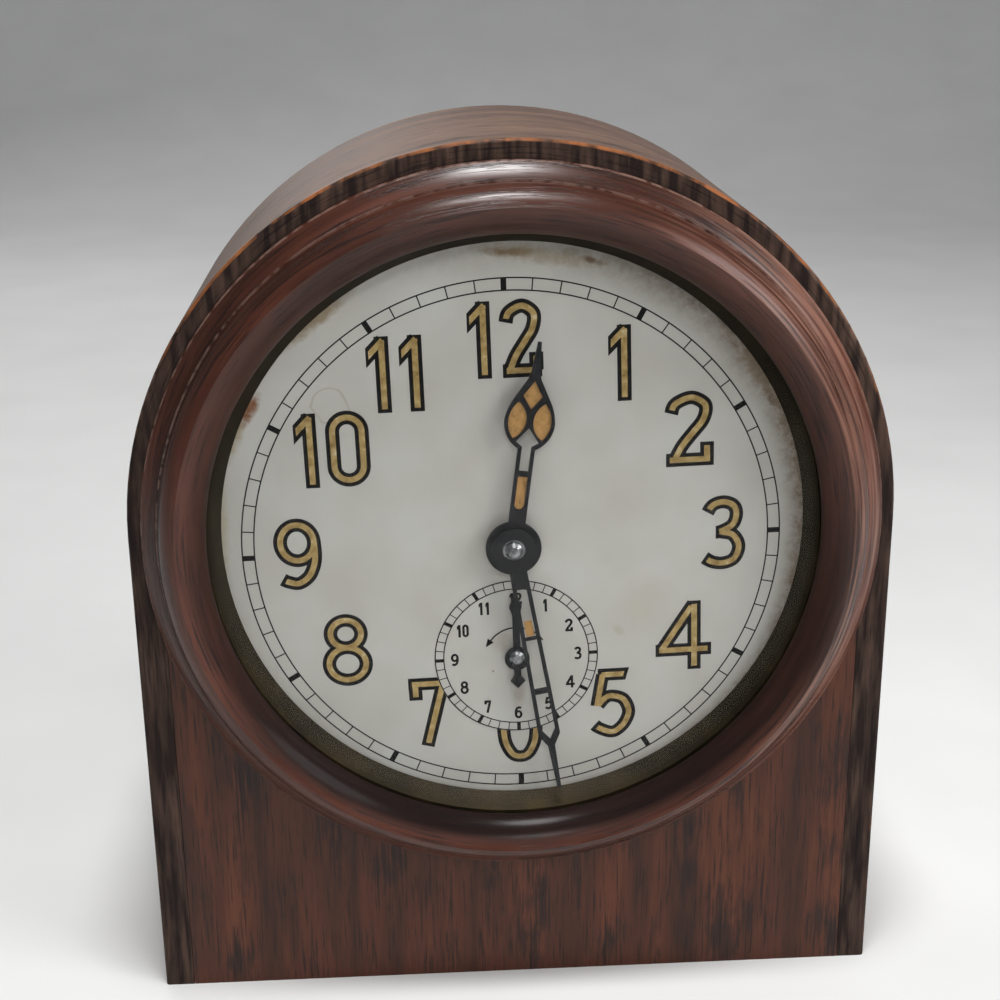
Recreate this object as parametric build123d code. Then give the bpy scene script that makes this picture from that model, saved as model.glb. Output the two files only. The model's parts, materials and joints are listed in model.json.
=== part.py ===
from build123d import *
import math
import os

os.makedirs("parts", exist_ok=True)

# A beehive shelf clock with an alarm: an oak case with a round-arched top, a turned bezel over a
# painted dial, and a spring-driven movement with its own gear train behind it.
# Frame: +Z up, the dial faces -Y, origin under the middle of the base.

# General clearances
overrun = 1.0
joint_gap = 0.1
seat_gap = 0.05
running_gap = 0.08
air_gap = 0.4

# Case woodwork
case_margin = 2.7
case_wall = 6.0
arch_height = 102.0
front_board_thickness = 10.0
base_board_thickness = 10.0
arris_round = 0.8
stop_width = 10.0
stop_thickness = 6.0
door_thickness = 5.8
door_gap = 0.6
door_clearance = 4.8
sound_hole_radius = 3.0
sound_hole_ring_radius = 12.0
sound_hole_count = 8

# Turned bezel, its section given as steps out from the sight edge and heights above the front board
bezel_drop = 1.1
sight_radius = 60.3
sight_height = 4.6
sight_lip = 0.9
roll_fall_width = 2.0
roll_fall_height = 7.6
roll_crest_width = 3.5
roll_crest_height = 9.6
roll_shoulder_width = 2.8
roll_shoulder_height = 7.4
quirk_width = 0.9
quirk_height = 2.9
bead_width = 0.7
bead_height = 3.5
bezel_edge_width = 3.1
bezel_edge_height = 0.9

# Convex glass and the brass ring behind it
glass_rebate = 1.9
glass_thickness = 1.2
glass_rise = 6.0
glass_seat_gap = 0.5
sight_ring_thickness = 0.4
sight_ring_width = 2.4

# Painted dial, hung low and turned a little in the case
dial_offset = -0.4
dial_drop = 2.8
dial_turn = 1.52
dial_recess = 2.1
dial_lap = 1.3
dial_thickness = 0.6
dial_recess_gap = 0.8
dial_foot_radius = 1.5
dial_foot_ring_radius = 34.0
dial_foot_count = 3

# Hands, measured from their arbors
hand_thickness = 0.6
hour_hand_length = 42.0
hour_hub_radius = 5.55
hour_stem_width = 3.4
hour_leaf_half_width = 4.95
hour_strip_width = 0.75
hour_hand_angle = 7.3
hour_hand_lift = 2.1
minute_hand_gap = 4.5
minute_hub_radius = 4.45
minute_stem_width = 3.4
minute_shoulder_width = 4.5
minute_strip_width = 0.85
minute_needle_width = 1.5
minute_hand_angle = 170.25
hands_gap = 0.7
hand_nut_radius = 1.8
hand_nut_height = 1.9
hand_nut_shares = [(0.6, 0.15), (1.0, 0.5)]
alarm_hand_length = 14.5
alarm_tail_length = 6.6
alarm_hub_radius = 2.55
alarm_stem_width = 1.45
alarm_head_width = 2.6
alarm_tail_width = 3.0
alarm_hand_thickness = 0.4
alarm_hand_lift = 0.6
alarm_pin_height = 0.6

# Movement plates
plate_half_width = 38.0
plate_corner = 6.0
plate_thickness = 1.5
plate_spacing = 21.0
pillar_radius = 3.0
pillar_end_radius = 1.6
pillar_side_inset = 5.0
pillar_end_inset = 6.0
pillar_balance_gap = 2.5
nut_radius = 3.4
nut_thickness = 2.2
nut_sides = 6
lug_angle = 38.0
lug_width = 8.0
lug_margin = 3.2
screw_radius = 1.4
screw_head_radius = 2.8
screw_head_height = 1.2
screw_depth = 6.0

# Toothed wheels
wheel_thickness = 1.0
great_wheel_thickness = 1.4
wheel_rim = 1.6
wheel_hub_radius = 2.6
wheel_arm_width = 1.6
wheel_arms = 4
pinion_length = 3.0
arbor_radius = 0.7
pivot_radius = 0.45
addendum_share = 0.9
dedendum_share = 1.2
wheel_root_share = 0.27
wheel_tip_share = 0.11
pinion_root_share = 0.23
pinion_tip_share = 0.13

# Going train: tooth counts, pitch radii and the bearing of each arbor from the one before
great_teeth = 54
centre_teeth = 48
third_teeth = 45
fourth_teeth = 48
pinion_leaves = 6
escape_teeth = 15
great_pitch_radius = 16.2
centre_pitch_radius = 12.0
third_pitch_radius = 10.8
fourth_pitch_radius = 10.08
great_bearing = -20.0
third_bearing = 150.0
fourth_bearing = 45.0
escape_bearing = 50.0

# Depths of the wheels in front of the back plate
centre_wheel_depth = 1.4
great_wheel_depth = 3.7
third_wheel_depth = 8.0
fourth_wheel_depth = 11.5
balance_depth = 9.5
lever_depth = 13.6
escape_wheel_depth = 15.7
hairspring_depth = 6.3
regulator_depth = 1.1

# Barrels, winding arbors and keys
drum_length = 12.9
drum_wall = 1.0
drum_inset = 1.2
drum_cap_thickness = 0.8
spring_pack_share = 0.45
winding_arbor_radius = 2.2
ratchet_teeth = 12
ratchet_radius = 7.0
ratchet_root_radius = 5.6
ratchet_thickness = 1.4
ratchet_lift = 0.6
click_stud_radius = 1.0
click_boss_radius = 2.0
time_click_bearing = 0.0
alarm_click_bearing = 180.0
key_hub_radius = 3.6
key_hub_length = 6.0
key_wing_half_width = 12.0
key_wing_length = 9.0
key_wing_thickness = 1.8
key_hole_radius = 2.6
key_lift = 6.5

# Escapement and balance
escape_tip_radius = 6.5
escape_root_radius = 4.9
lever_distance = 8.8
lever_reach = 11.6
lever_thickness = 0.8
lever_width = 1.6
pallet_ring_radius = 7.75
pallet_angle = 36.0
pallet_pin_radius = 0.4
pallet_pin_length = 2.9
fork_slot_gap = 0.25
fork_width = 4.0
fork_length = 2.6
impulse_ring_radius = 2.6
impulse_pin_radius = 0.45
balance_radius = 10.4
balance_rim = 1.6
balance_thickness = 1.5
balance_arm_width = 2.4
staff_radius = 0.8
staff_screw_radius = 1.5
staff_screw_depth = 2.0
hairspring_turns = 5
hairspring_start_radius = 2.6
hairspring_pitch = 0.95
hairspring_thickness = 0.3
hairspring_height = 1.0
hairspring_stud_radius = 0.9
regulator_ring_radius = 3.0
regulator_thickness = 0.7
regulator_arm_width = 1.6
regulator_arm_length = 26.0
regulator_bearing = 100.0

# Motion work between the front plate and the dial
cannon_teeth = 9
minute_wheel_teeth = 36
minute_pinion_teeth = 10
hour_wheel_teeth = 30
alarm_distance = 24.6
minute_wheel_bearing = 52.0
minute_wheel_lift = 1.8
hour_wheel_lift = 4.5
centre_arbor_radius = 1.0
cannon_pipe_radius = 2.2
hour_pipe_radius = 3.0
set_arbor_radius = 0.9
alarm_arbor_radius = 1.6
knob_radius = 5.5
knob_length = 6.0
knob_lift = 6.0
knob_shares = [(0.6, 0.0), (1.0, 0.3), (1.0, 0.8), (0.85, 1.0)]
alarm_tip_shares = (0.6, 0.2)

# Alarm train, hammer and bell
alarm_great_teeth = 42
alarm_escape_teeth = 15
alarm_great_pitch_radius = 12.6
alarm_barrel_x = -20.0
alarm_barrel_z = -24.0
alarm_escape_bearing = 110.0
alarm_escape_tip_radius = 8.0
alarm_escape_root_radius = 6.2
alarm_escape_depth = 1.9
hammer_distance = 11.0
hammer_bearing = 120.0
verge_ring_radius = 9.4
verge_angle = 36.0
hammer_arm_width = 2.0
hammer_boss_radius = 1.8
hammer_arm_thickness = 1.2
hammer_arm_lift = 1.4
hammer_head_radius = 2.6
hammer_head_length = 7.5
hammer_room = 9.5
bell_x = -6.0
bell_inset = 4.0
bell_radius = 21.0
bell_flare_width = 3.0
bell_dome_width = 10.0
bell_depth = 13.0
bell_shoulder_share = 0.35
bell_wall = 1.0
bell_lift = 4.2
bell_post_radius = 2.0
bell_post_shoulder_radius = 3.6

# Back door fittings
hinge_foot_height = 30.0
hinge_top_drop = 17.0
hinge_length = 15.0
hinge_knuckles = 3
hinge_leaf_thickness = 0.8
hinge_leaf_width = 9.0
hinge_knuckle_radius = 1.6
hinge_pin_radius = 0.8
hinge_pin_head = 0.8
hinge_lift = 0.2
door_knob_inset = 11.4
door_knob_drop = 22.0
door_knob_radius = 5.0
door_knob_stem_radius = 2.4
door_knob_length = 9.0
door_knob_stem_share = 0.33
door_knob_shares = [(1.0, 0.5), (0.9, 0.85), (0.45, 1.0)]

# Places worked out from the sizes above
roll_fall_radius = sight_radius + roll_fall_width
roll_crest_radius = roll_fall_radius + roll_crest_width
roll_shoulder_radius = roll_crest_radius + roll_shoulder_width
quirk_radius = roll_shoulder_radius + quirk_width
bead_radius = quirk_radius + bead_width
bezel_radius = bead_radius + bezel_edge_width
glass_radius = sight_radius + glass_rebate
sight_ring_inner_radius = sight_radius - sight_ring_width
dial_radius = sight_radius + dial_lap
minute_hand_length = sight_ring_inner_radius - minute_hand_gap
case_half_width = bezel_radius + case_margin
inner_half_width = case_half_width - case_wall
movement_depth = plate_spacing + 2 * plate_thickness
bell_stack = bell_lift + bell_depth + nut_thickness
case_depth = front_board_thickness + movement_depth + bell_stack + door_clearance + door_thickness
front_y = -case_depth / 2
back_y = case_depth / 2
board_back_y = front_y + front_board_thickness
bezel_z = arch_height - bezel_drop
dial_x = dial_offset
dial_z = bezel_z - dial_drop
dial_y = front_y + dial_recess
dial_back_y = dial_y + dial_thickness
plate_y = board_back_y
plate_back_y = plate_y + plate_thickness
rear_plate_y = plate_back_y + plate_spacing
rear_y = rear_plate_y + plate_thickness
movement = Location((dial_x, 0, dial_z), (0, -dial_turn, 0))


# Helpers for flat pieces seen from the front and for turned pieces
def front_plane(y):
    return Plane(origin=(0, y, 0), x_dir=(1, 0, 0), z_dir=(0, -1, 0))


def slab(face, y_front, y_back):
    return extrude(front_plane(y_back) * face, y_back - y_front)


def rod(spot, radius, y_front, y_back):
    return slab(Pos(*spot) * Circle(radius), y_front, y_back)


def turned(spot, points):
    section = make_face(Polyline(*points, close=True))
    return Pos(spot[0], 0, spot[1]) * revolve(section, Axis.Y)


def polar(centre, radius, bearing):
    angle = math.radians(bearing)
    return (centre[0] + radius * math.cos(angle), centre[1] + radius * math.sin(angle))


def bar(start, end, width):
    run = math.hypot(end[0] - start[0], end[1] - start[1])
    bearing = math.degrees(math.atan2(end[1] - start[1], end[0] - start[0]))
    middle = ((start[0] + end[0]) / 2, (start[1] + end[1]) / 2)
    return Pos(*middle) * Rot(0, 0, bearing) * SlotCenterToCenter(run, width)


def toothed(teeth, module, root_share, tip_share, turn):
    pitch_radius = teeth * module / 2
    root = pitch_radius - dedendum_share * module
    tip = pitch_radius + addendum_share * module
    step = 360 / teeth
    corners = []
    for tooth in range(teeth):
        middle = turn + tooth * step
        corners.append(polar((0, 0), root, middle - root_share * step))
        corners.append(polar((0, 0), tip, middle - tip_share * step))
        corners.append(polar((0, 0), tip, middle + tip_share * step))
        corners.append(polar((0, 0), root, middle + root_share * step))
    return make_face(Polyline(*corners, close=True))


def sawtooth(teeth, tip, root, turn):
    step = 360 / teeth
    corners = []
    for tooth in range(teeth):
        corners.append(polar((0, 0), tip, turn + tooth * step))
        corners.append(polar((0, 0), root, turn + tooth * step))
    return make_face(Polyline(*corners, close=True))


def crossed(outline, inner_radius, bore):
    rim = outline - Circle(inner_radius)
    spokes = Circle(wheel_hub_radius)
    for arm in range(wheel_arms):
        half = Pos(inner_radius / 2, 0) * Rectangle(inner_radius + wheel_rim, wheel_arm_width)
        spokes += Rot(0, 0, arm * 360 / wheel_arms) * half
    return rim + spokes - Circle(bore)


def spoked_wheel(spot, teeth, module, turn, y_middle, bore):
    outline = toothed(teeth, module, wheel_root_share, wheel_tip_share, turn)
    inner = teeth * module / 2 - dedendum_share * module - wheel_rim
    face = Pos(*spot) * crossed(outline, inner, bore)
    return slab(face, y_middle - wheel_thickness / 2, y_middle + wheel_thickness / 2)


def pinion(spot, leaves, module, turn, y_middle, length):
    outline = toothed(leaves, module, pinion_root_share, pinion_tip_share, turn)
    return slab(Pos(*spot) * outline, y_middle - length / 2, y_middle + length / 2)


def pivoted_arbor(spot, radius):
    body = rod(spot, radius, plate_back_y + seat_gap, rear_plate_y - seat_gap)
    return body + rod(spot, pivot_radius, plate_y, rear_y)


def meshing_turn(bearing, teeth, driver_turn, driver_teeth):
    """Turn of a follower that puts a gap against the driver's tooth on the line of centres."""
    driver_phase = (bearing - driver_turn) * driver_teeth / 360
    return bearing + 180 + (driver_phase + 0.5) * 360 / teeth


def save(name, *solids):
    whole = solids[0] if len(solids) == 1 else Compound(children=list(solids))
    export_step(whole, "parts/" + name + ".step")


def save_in_movement(name, *solids):
    save(name, *[movement * solid for solid in solids])


# Tooth modules, and arbor spots in the movement from the centre arbor at (0, 0)
great_module = 2 * great_pitch_radius / great_teeth
centre_module = 2 * centre_pitch_radius / centre_teeth
third_module = 2 * third_pitch_radius / third_teeth
fourth_module = 2 * fourth_pitch_radius / fourth_teeth
alarm_great_module = 2 * alarm_great_pitch_radius / alarm_great_teeth
centre_spot = (0, 0)
great_spot = polar(centre_spot, (great_teeth + pinion_leaves) * great_module / 2, great_bearing)
third_spot = polar(centre_spot, (centre_teeth + pinion_leaves) * centre_module / 2, third_bearing)
fourth_spot = polar(third_spot, (third_teeth + pinion_leaves) * third_module / 2, fourth_bearing)
escape_spot = polar(fourth_spot, (fourth_teeth + pinion_leaves) * fourth_module / 2, escape_bearing)
lever_spot = (escape_spot[0] + lever_distance, escape_spot[1])
balance_spot = (lever_spot[0] + lever_reach, lever_spot[1])
alarm_spot = (0, -alarm_distance)
hour_module = alarm_distance / hour_wheel_teeth
set_distance = (hour_wheel_teeth + minute_pinion_teeth) * hour_module / 2
minute_module = 2 * set_distance / (cannon_teeth + minute_wheel_teeth)
set_spot = polar(centre_spot, set_distance, minute_wheel_bearing)
alarm_great_spot = (alarm_barrel_x, alarm_barrel_z)
alarm_escape_distance = (alarm_great_teeth + pinion_leaves) * alarm_great_module / 2
alarm_escape_spot = polar(alarm_great_spot, alarm_escape_distance, alarm_escape_bearing)
hammer_spot = polar(alarm_escape_spot, hammer_distance, hammer_bearing)
pillar_x = plate_half_width - pillar_side_inset
pillar_z = balance_spot[1] + balance_radius + pillar_balance_gap + pillar_radius
plate_half_height = pillar_z + pillar_end_inset
pillar_spots = [(sx * pillar_x, sz * pillar_z) for sx in (-1, 1) for sz in (-1, 1)]

# Case woodwork
def arch(radius, bottom):
    legs = Pos(0, (arch_height + bottom) / 2) * Rectangle(2 * radius, arch_height - bottom)
    return legs + Pos(0, arch_height) * Circle(radius)


board_half_width = inner_half_width - joint_gap
bezel_spot = (0, bezel_z)
dial_spot = (dial_x, dial_z)
lug_bearings = [lug_angle, 180 - lug_angle, 180 + lug_angle, 360 - lug_angle]
lug_ring_radius = dial_radius + dial_recess_gap + lug_margin
lug_spots = [polar((0, 0), lug_ring_radius, bearing) for bearing in lug_bearings]

case_block = slab(arch(case_half_width, 0), front_y, back_y)
front_arris = case_block.faces().sort_by(Axis.Y)[0].edges().sort_by(Axis.Z)[1:]
case_shell = fillet(front_arris, arris_round)
case_shell -= slab(arch(inner_half_width, -overrun), front_y - overrun, back_y + overrun)
save("case_shell", case_shell)

front_board = slab(arch(board_half_width, 0), front_y, board_back_y)
front_board -= rod(bezel_spot, sight_radius, front_y - overrun, dial_y)
front_board -= rod(dial_spot, dial_radius + dial_recess_gap, dial_y - joint_gap, board_back_y + overrun)
for spot in lug_spots:
    pilot = rod(spot, screw_radius + seat_gap, board_back_y - screw_depth - seat_gap, board_back_y + overrun)
    front_board -= movement * pilot
save("front_board", front_board)

base_depth = back_y - board_back_y - joint_gap
base_board = Pos(0, back_y - base_depth / 2, base_board_thickness / 2) * Box(
    2 * board_half_width, base_depth, base_board_thickness)
save("base_board", base_board)

stop_y = back_y - door_thickness - 2 * joint_gap
stop_outline = arch(board_half_width, base_board_thickness + joint_gap)
stop_outline -= arch(inner_half_width - stop_width, -overrun)
save("back_frame", slab(stop_outline, stop_y - stop_thickness, stop_y))

# Back door with its sound holes over the bell
door_outline = arch(inner_half_width - door_gap, base_board_thickness + door_gap)
bell_z = plate_half_height - bell_inset
bell_spot = (bell_x, bell_z)
bell_middle = (movement * Pos(bell_x, 0, bell_z)).position
sound_spot = (bell_middle.X, bell_middle.Z)
door_outline -= Pos(*sound_spot) * Circle(sound_hole_radius)
for hole in range(sound_hole_count):
    spot = polar(sound_spot, sound_hole_ring_radius, hole * 360 / sound_hole_count)
    door_outline -= Pos(*spot) * Circle(sound_hole_radius)
save("back_door", slab(door_outline, back_y - door_thickness, back_y))

knob_neck_y = back_y + door_knob_stem_share * door_knob_length
knob_profile = [(0, back_y), (door_knob_stem_radius, back_y), (door_knob_stem_radius, knob_neck_y)]
for across, along in door_knob_shares:
    knob_profile.append((across * door_knob_radius, back_y + along * door_knob_length))
knob_profile.append((0, back_y + door_knob_length))
knob_spot = (door_gap + door_knob_inset - inner_half_width, arch_height - door_knob_drop)
save("door_knob", turned(knob_spot, knob_profile))

# Brass butt hinges: two case knuckles and one door knuckle on each pin
hinge_x = inner_half_width - door_gap / 2
hinge_y = back_y + hinge_knuckle_radius + hinge_lift
knuckle_length = hinge_length / hinge_knuckles
knuckle_notch_radius = hinge_knuckle_radius + air_gap
leaf_y = back_y + hinge_leaf_thickness / 2
case_leaf_end = case_half_width - arris_round


def upright(x, y, z, radius, length):
    return Pos(x, y, z) * Cylinder(radius, length)


case_leaves = []
door_leaves = []
hinge_pins = []
for height in (hinge_foot_height, arch_height - hinge_top_drop):
    case_leaf_width = case_leaf_end - hinge_x - joint_gap
    case_leaf = Pos(case_leaf_end - case_leaf_width / 2, leaf_y, height) * Box(
        case_leaf_width, hinge_leaf_thickness, hinge_length)
    case_leaf -= upright(hinge_x, hinge_y, height, knuckle_notch_radius, knuckle_length + joint_gap)
    for side in (-1, 1):
        end_height = height + side * knuckle_length
        case_leaf += upright(hinge_x, hinge_y, end_height, hinge_knuckle_radius, knuckle_length - joint_gap)
    case_leaf -= upright(hinge_x, hinge_y, height, hinge_pin_radius + seat_gap, hinge_length + overrun)
    case_leaves.append(case_leaf)
    door_leaf = Pos(hinge_x - joint_gap - hinge_leaf_width / 2, leaf_y, height) * Box(
        hinge_leaf_width, hinge_leaf_thickness, hinge_length)
    for side in (-1, 1):
        end_height = height + side * knuckle_length
        door_leaf -= upright(hinge_x, hinge_y, end_height, knuckle_notch_radius, knuckle_length + joint_gap)
    door_leaf += upright(hinge_x, hinge_y, height, hinge_knuckle_radius, knuckle_length - joint_gap)
    door_leaf -= upright(hinge_x, hinge_y, height, hinge_pin_radius + running_gap, hinge_length + overrun)
    door_leaves.append(door_leaf)
    pin = upright(hinge_x, hinge_y, height, hinge_pin_radius, hinge_length)
    for side in (-1, 1):
        head_height = height + side * (hinge_length + hinge_pin_head) / 2
        pin += upright(hinge_x, hinge_y, head_height, hinge_knuckle_radius, hinge_pin_head)
    hinge_pins.append(pin)
save("case_hinge_halves", *case_leaves, *hinge_pins)
save("door_hinge_halves", *door_leaves)

# Turned bezel, glass and sight ring
def bezel_point(radius, height):
    return (radius, front_y - height)


glass_seat_height = sight_height - sight_lip
glass_seat_radius = glass_radius + joint_gap
section = Polyline(
    bezel_point(sight_radius, sight_height), bezel_point(sight_radius, glass_seat_height),
    bezel_point(glass_seat_radius, glass_seat_height), bezel_point(glass_seat_radius, 0),
    bezel_point(bezel_radius, 0), bezel_point(bezel_radius, bezel_edge_height),
    bezel_point(bead_radius, bead_height), bezel_point(quirk_radius, bead_height),
    bezel_point(quirk_radius, quirk_height))
outer_roll = ThreePointArc(
    bezel_point(quirk_radius, quirk_height), bezel_point(roll_shoulder_radius, roll_shoulder_height),
    bezel_point(roll_crest_radius, roll_crest_height))
inner_roll = ThreePointArc(
    bezel_point(roll_crest_radius, roll_crest_height), bezel_point(roll_fall_radius, roll_fall_height),
    bezel_point(sight_radius, sight_height))
bezel_section = make_face(section + outer_roll + inner_roll)
save("bezel_ring", Pos(0, 0, bezel_z) * revolve(bezel_section, Axis.Y))

glass_front_y = front_y - glass_seat_height + glass_seat_gap
glass_back_y = glass_front_y + glass_thickness
dome = (glass_radius ** 2 + glass_rise ** 2) / (2 * glass_rise)
middle_sag = dome - math.sqrt(dome ** 2 - (glass_radius / 2) ** 2)
glass_edges = [
    Line((0, glass_back_y - glass_rise), (0, glass_front_y - glass_rise)),
    ThreePointArc((0, glass_front_y - glass_rise), (glass_radius / 2, glass_front_y - glass_rise + middle_sag),
                  (glass_radius, glass_front_y)),
    Line((glass_radius, glass_front_y), (glass_radius, glass_back_y)),
    ThreePointArc((glass_radius, glass_back_y), (glass_radius / 2, glass_back_y - glass_rise + middle_sag),
                  (0, glass_back_y - glass_rise))]
save("glass", Pos(0, 0, bezel_z) * revolve(make_face(glass_edges), Axis.Y))

ring_top_y = glass_back_y + joint_gap
ring_top_radius = sight_radius + joint_gap
ring_bottom_y = dial_y - 2 * joint_gap
ring_profile = [
    (glass_radius, ring_top_y), (ring_top_radius, ring_top_y), (sight_ring_inner_radius, ring_bottom_y),
    (sight_ring_inner_radius + sight_ring_thickness, ring_bottom_y),
    (ring_top_radius + sight_ring_thickness, ring_top_y + sight_ring_thickness),
    (glass_radius, ring_top_y + sight_ring_thickness)]
save("sight_ring", turned(bezel_spot, ring_profile))

# Dial plate on three feet that stand on the front plate
dial_plate = rod(centre_spot, dial_radius, dial_y, dial_back_y)
dial_plate -= rod(centre_spot, hour_pipe_radius + air_gap, dial_y - overrun, dial_back_y + overrun)
dial_plate -= rod(alarm_spot, alarm_arbor_radius + air_gap, dial_y - overrun, dial_back_y + overrun)
for foot in range(dial_foot_count):
    foot_spot = polar(centre_spot, dial_foot_ring_radius, 90 + foot * 360 / dial_foot_count)
    dial_plate += rod(foot_spot, dial_foot_radius, dial_back_y, plate_y)
save_in_movement("dial_plate", dial_plate)

# Movement plates with their pivot holes
plate_outline = RectangleRounded(2 * plate_half_width, 2 * plate_half_height, plate_corner)
front_outline = plate_outline
for spot in lug_spots:
    front_outline += bar(centre_spot, spot, lug_width)
pivot_spots = [third_spot, fourth_spot, escape_spot, lever_spot, alarm_escape_spot]
for spot in pivot_spots:
    front_outline -= Pos(*spot) * Circle(pivot_radius + running_gap)
for spot, radius in ((centre_spot, centre_arbor_radius), (set_spot, set_arbor_radius),
                     (alarm_spot, alarm_arbor_radius), (great_spot, winding_arbor_radius),
                     (alarm_great_spot, winding_arbor_radius), (hammer_spot, set_arbor_radius)):
    front_outline -= Pos(*spot) * Circle(radius + running_gap)
for spot in lug_spots:
    front_outline -= Pos(*spot) * Circle(screw_radius + seat_gap)
for spot in pillar_spots:
    front_outline -= Pos(*spot) * Circle(pillar_end_radius + seat_gap)
front_outline -= Pos(*balance_spot) * Circle(staff_screw_radius + seat_gap)
save_in_movement("front_plate", slab(front_outline, plate_y, plate_back_y))

rear_outline = plate_outline
for spot in pivot_spots:
    rear_outline -= Pos(*spot) * Circle(pivot_radius + running_gap)
for spot, radius in ((centre_spot, centre_arbor_radius), (set_spot, set_arbor_radius),
                     (alarm_spot, alarm_arbor_radius), (great_spot, winding_arbor_radius),
                     (alarm_great_spot, winding_arbor_radius), (hammer_spot, set_arbor_radius)):
    rear_outline -= Pos(*spot) * Circle(radius + running_gap)
for spot in pillar_spots:
    rear_outline -= Pos(*spot) * Circle(pillar_end_radius + seat_gap)
rear_outline -= Pos(*balance_spot) * Circle(staff_screw_radius + seat_gap)
rear_outline -= Pos(*bell_spot) * Circle(bell_post_radius + seat_gap)
save_in_movement("back_plate", slab(rear_outline, rear_plate_y, rear_y))

# Pillars, their nuts and the screws that hold the movement to the front board
pillars = []
nuts = []
for spot in pillar_spots:
    pillar = rod(spot, pillar_radius, plate_back_y, rear_plate_y)
    pillar += rod(spot, pillar_end_radius, plate_y, rear_y + nut_thickness)
    pillars.append(pillar)
    nut = Pos(*spot) * (RegularPolygon(nut_radius, nut_sides) - Circle(pillar_end_radius + seat_gap))
    nuts.append(slab(nut, rear_y, rear_y + nut_thickness))
save_in_movement("pillars", *pillars)
save_in_movement("pillar_nuts", *nuts)

screws = []
for spot in lug_spots:
    screw = rod(spot, screw_radius, board_back_y - screw_depth, plate_back_y)
    screw += rod(spot, screw_head_radius, plate_back_y, plate_back_y + screw_head_height)
    screws.append(screw)
save_in_movement("movement_screws", *screws)

# Spring barrels, each with a great wheel, a cap, its mainspring and its winding arbor
great_y = rear_plate_y - great_wheel_depth
ratchet_y = rear_y + ratchet_lift
key_y = rear_y + key_lift


def barrel_set(name, spot, teeth, module, turn, click_bearing):
    drum_radius = teeth * module / 2 - drum_inset
    wheel_front = great_y - great_wheel_thickness / 2
    drum_front = wheel_front - drum_length
    bore = winding_arbor_radius + running_gap
    outline = toothed(teeth, module, wheel_root_share, wheel_tip_share, turn) - Circle(bore)
    drum = slab(Pos(*spot) * outline, wheel_front, great_y + great_wheel_thickness / 2)
    wall = Circle(drum_radius) - Circle(drum_radius - drum_wall)
    drum += slab(Pos(*spot) * wall, drum_front, wheel_front)
    cap_radius = drum_radius - drum_wall - seat_gap
    cap = Pos(*spot) * (Circle(cap_radius) - Circle(bore))
    save_in_movement(name + "_barrel", drum, slab(cap, drum_front, drum_front + drum_cap_thickness))
    pack = Circle(cap_radius) - Circle(cap_radius * (1 - spring_pack_share))
    pack_front = drum_front + drum_cap_thickness + air_gap
    save_in_movement(name + "_mainspring", slab(Pos(*spot) * pack, pack_front, wheel_front - air_gap))
    arbor_end = key_y + key_hub_length - key_wing_thickness - joint_gap
    arbor = rod(spot, winding_arbor_radius, plate_y, arbor_end)
    saw = sawtooth(ratchet_teeth, ratchet_radius, ratchet_root_radius, click_bearing)
    saw -= Circle(winding_arbor_radius + seat_gap)
    ratchet = slab(Pos(*spot) * saw, ratchet_y, ratchet_y + ratchet_thickness)
    save_in_movement(name + "_winding_arbor", arbor, ratchet)


barrel_set("time", great_spot, great_teeth, great_module, 0, time_click_bearing)
barrel_set("alarm", alarm_great_spot, alarm_great_teeth, alarm_great_module, 0, alarm_click_bearing)

# Clicks: a pawl on a shoulder stud rests in the saw teeth of each ratchet
click_arm_shares = [(0.836, 0.03), (0.986, 0.03), (1.37, 1.14), (0.97, 1.14)]
click_pivot_share = (1.17, 1.14)


def click_spot(spot, bearing):
    across, along = (share * ratchet_radius for share in click_pivot_share)
    return polar(spot, math.hypot(across, along), bearing + math.degrees(math.atan2(along, across)))


def click(spot, bearing):
    corners = [(across * ratchet_radius, along * ratchet_radius) for across, along in click_arm_shares]
    arm = Pos(*spot) * Rot(0, 0, bearing) * make_face(Polyline(*corners, close=True))
    pivot = Pos(*click_spot(spot, bearing))
    outline = arm + pivot * Circle(click_boss_radius) - pivot * Circle(click_stud_radius + running_gap)
    return slab(outline, ratchet_y, ratchet_y + ratchet_thickness)


def click_stud(spot, bearing):
    place = click_spot(spot, bearing)
    head_y = ratchet_y + ratchet_thickness + joint_gap
    stud = rod(place, click_stud_radius, rear_y, head_y)
    return stud + rod(place, click_boss_radius, head_y, head_y + click_stud_radius)


# Winding keys with two pierced wings
def winding_key(spot):
    hub_end = key_y + key_hub_length
    hub = rod(spot, key_hub_radius, key_y, hub_end)
    hub -= rod(spot, winding_arbor_radius + seat_gap, key_y - overrun, hub_end - key_wing_thickness)
    lobe = key_wing_length / 2
    lobe_x = key_wing_half_width - lobe
    middle_y = hub_end + lobe - joint_gap
    wing = Pos(0, middle_y) * Rectangle(2 * lobe_x, lobe)
    wing += Pos(0, hub_end + lobe / 2 - joint_gap) * Rectangle(2 * key_hub_radius, lobe)
    for side in (-1, 1):
        wing += Pos(side * lobe_x, middle_y) * Circle(lobe)
    for side in (-1, 1):
        wing -= Pos(side * lobe_x, middle_y) * Circle(key_hole_radius)
    plate = extrude(wing, key_wing_thickness / 2, both=True)
    return hub + Pos(spot[0], 0, spot[1]) * plate


save_in_movement("time_click", click(great_spot, time_click_bearing))
save_in_movement("alarm_click", click(alarm_great_spot, alarm_click_bearing))
save_in_movement("click_studs", click_stud(great_spot, time_click_bearing),
                 click_stud(alarm_great_spot, alarm_click_bearing))
save_in_movement("time_key", winding_key(great_spot))
save_in_movement("alarm_key", winding_key(alarm_great_spot))

# Going train: each wheel is brass on a steel arbor with its own pinion
wheel_bore = arbor_radius + seat_gap
centre_y = rear_plate_y - centre_wheel_depth
third_y = rear_plate_y - third_wheel_depth
fourth_y = rear_plate_y - fourth_wheel_depth
escape_y = rear_plate_y - escape_wheel_depth

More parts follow.
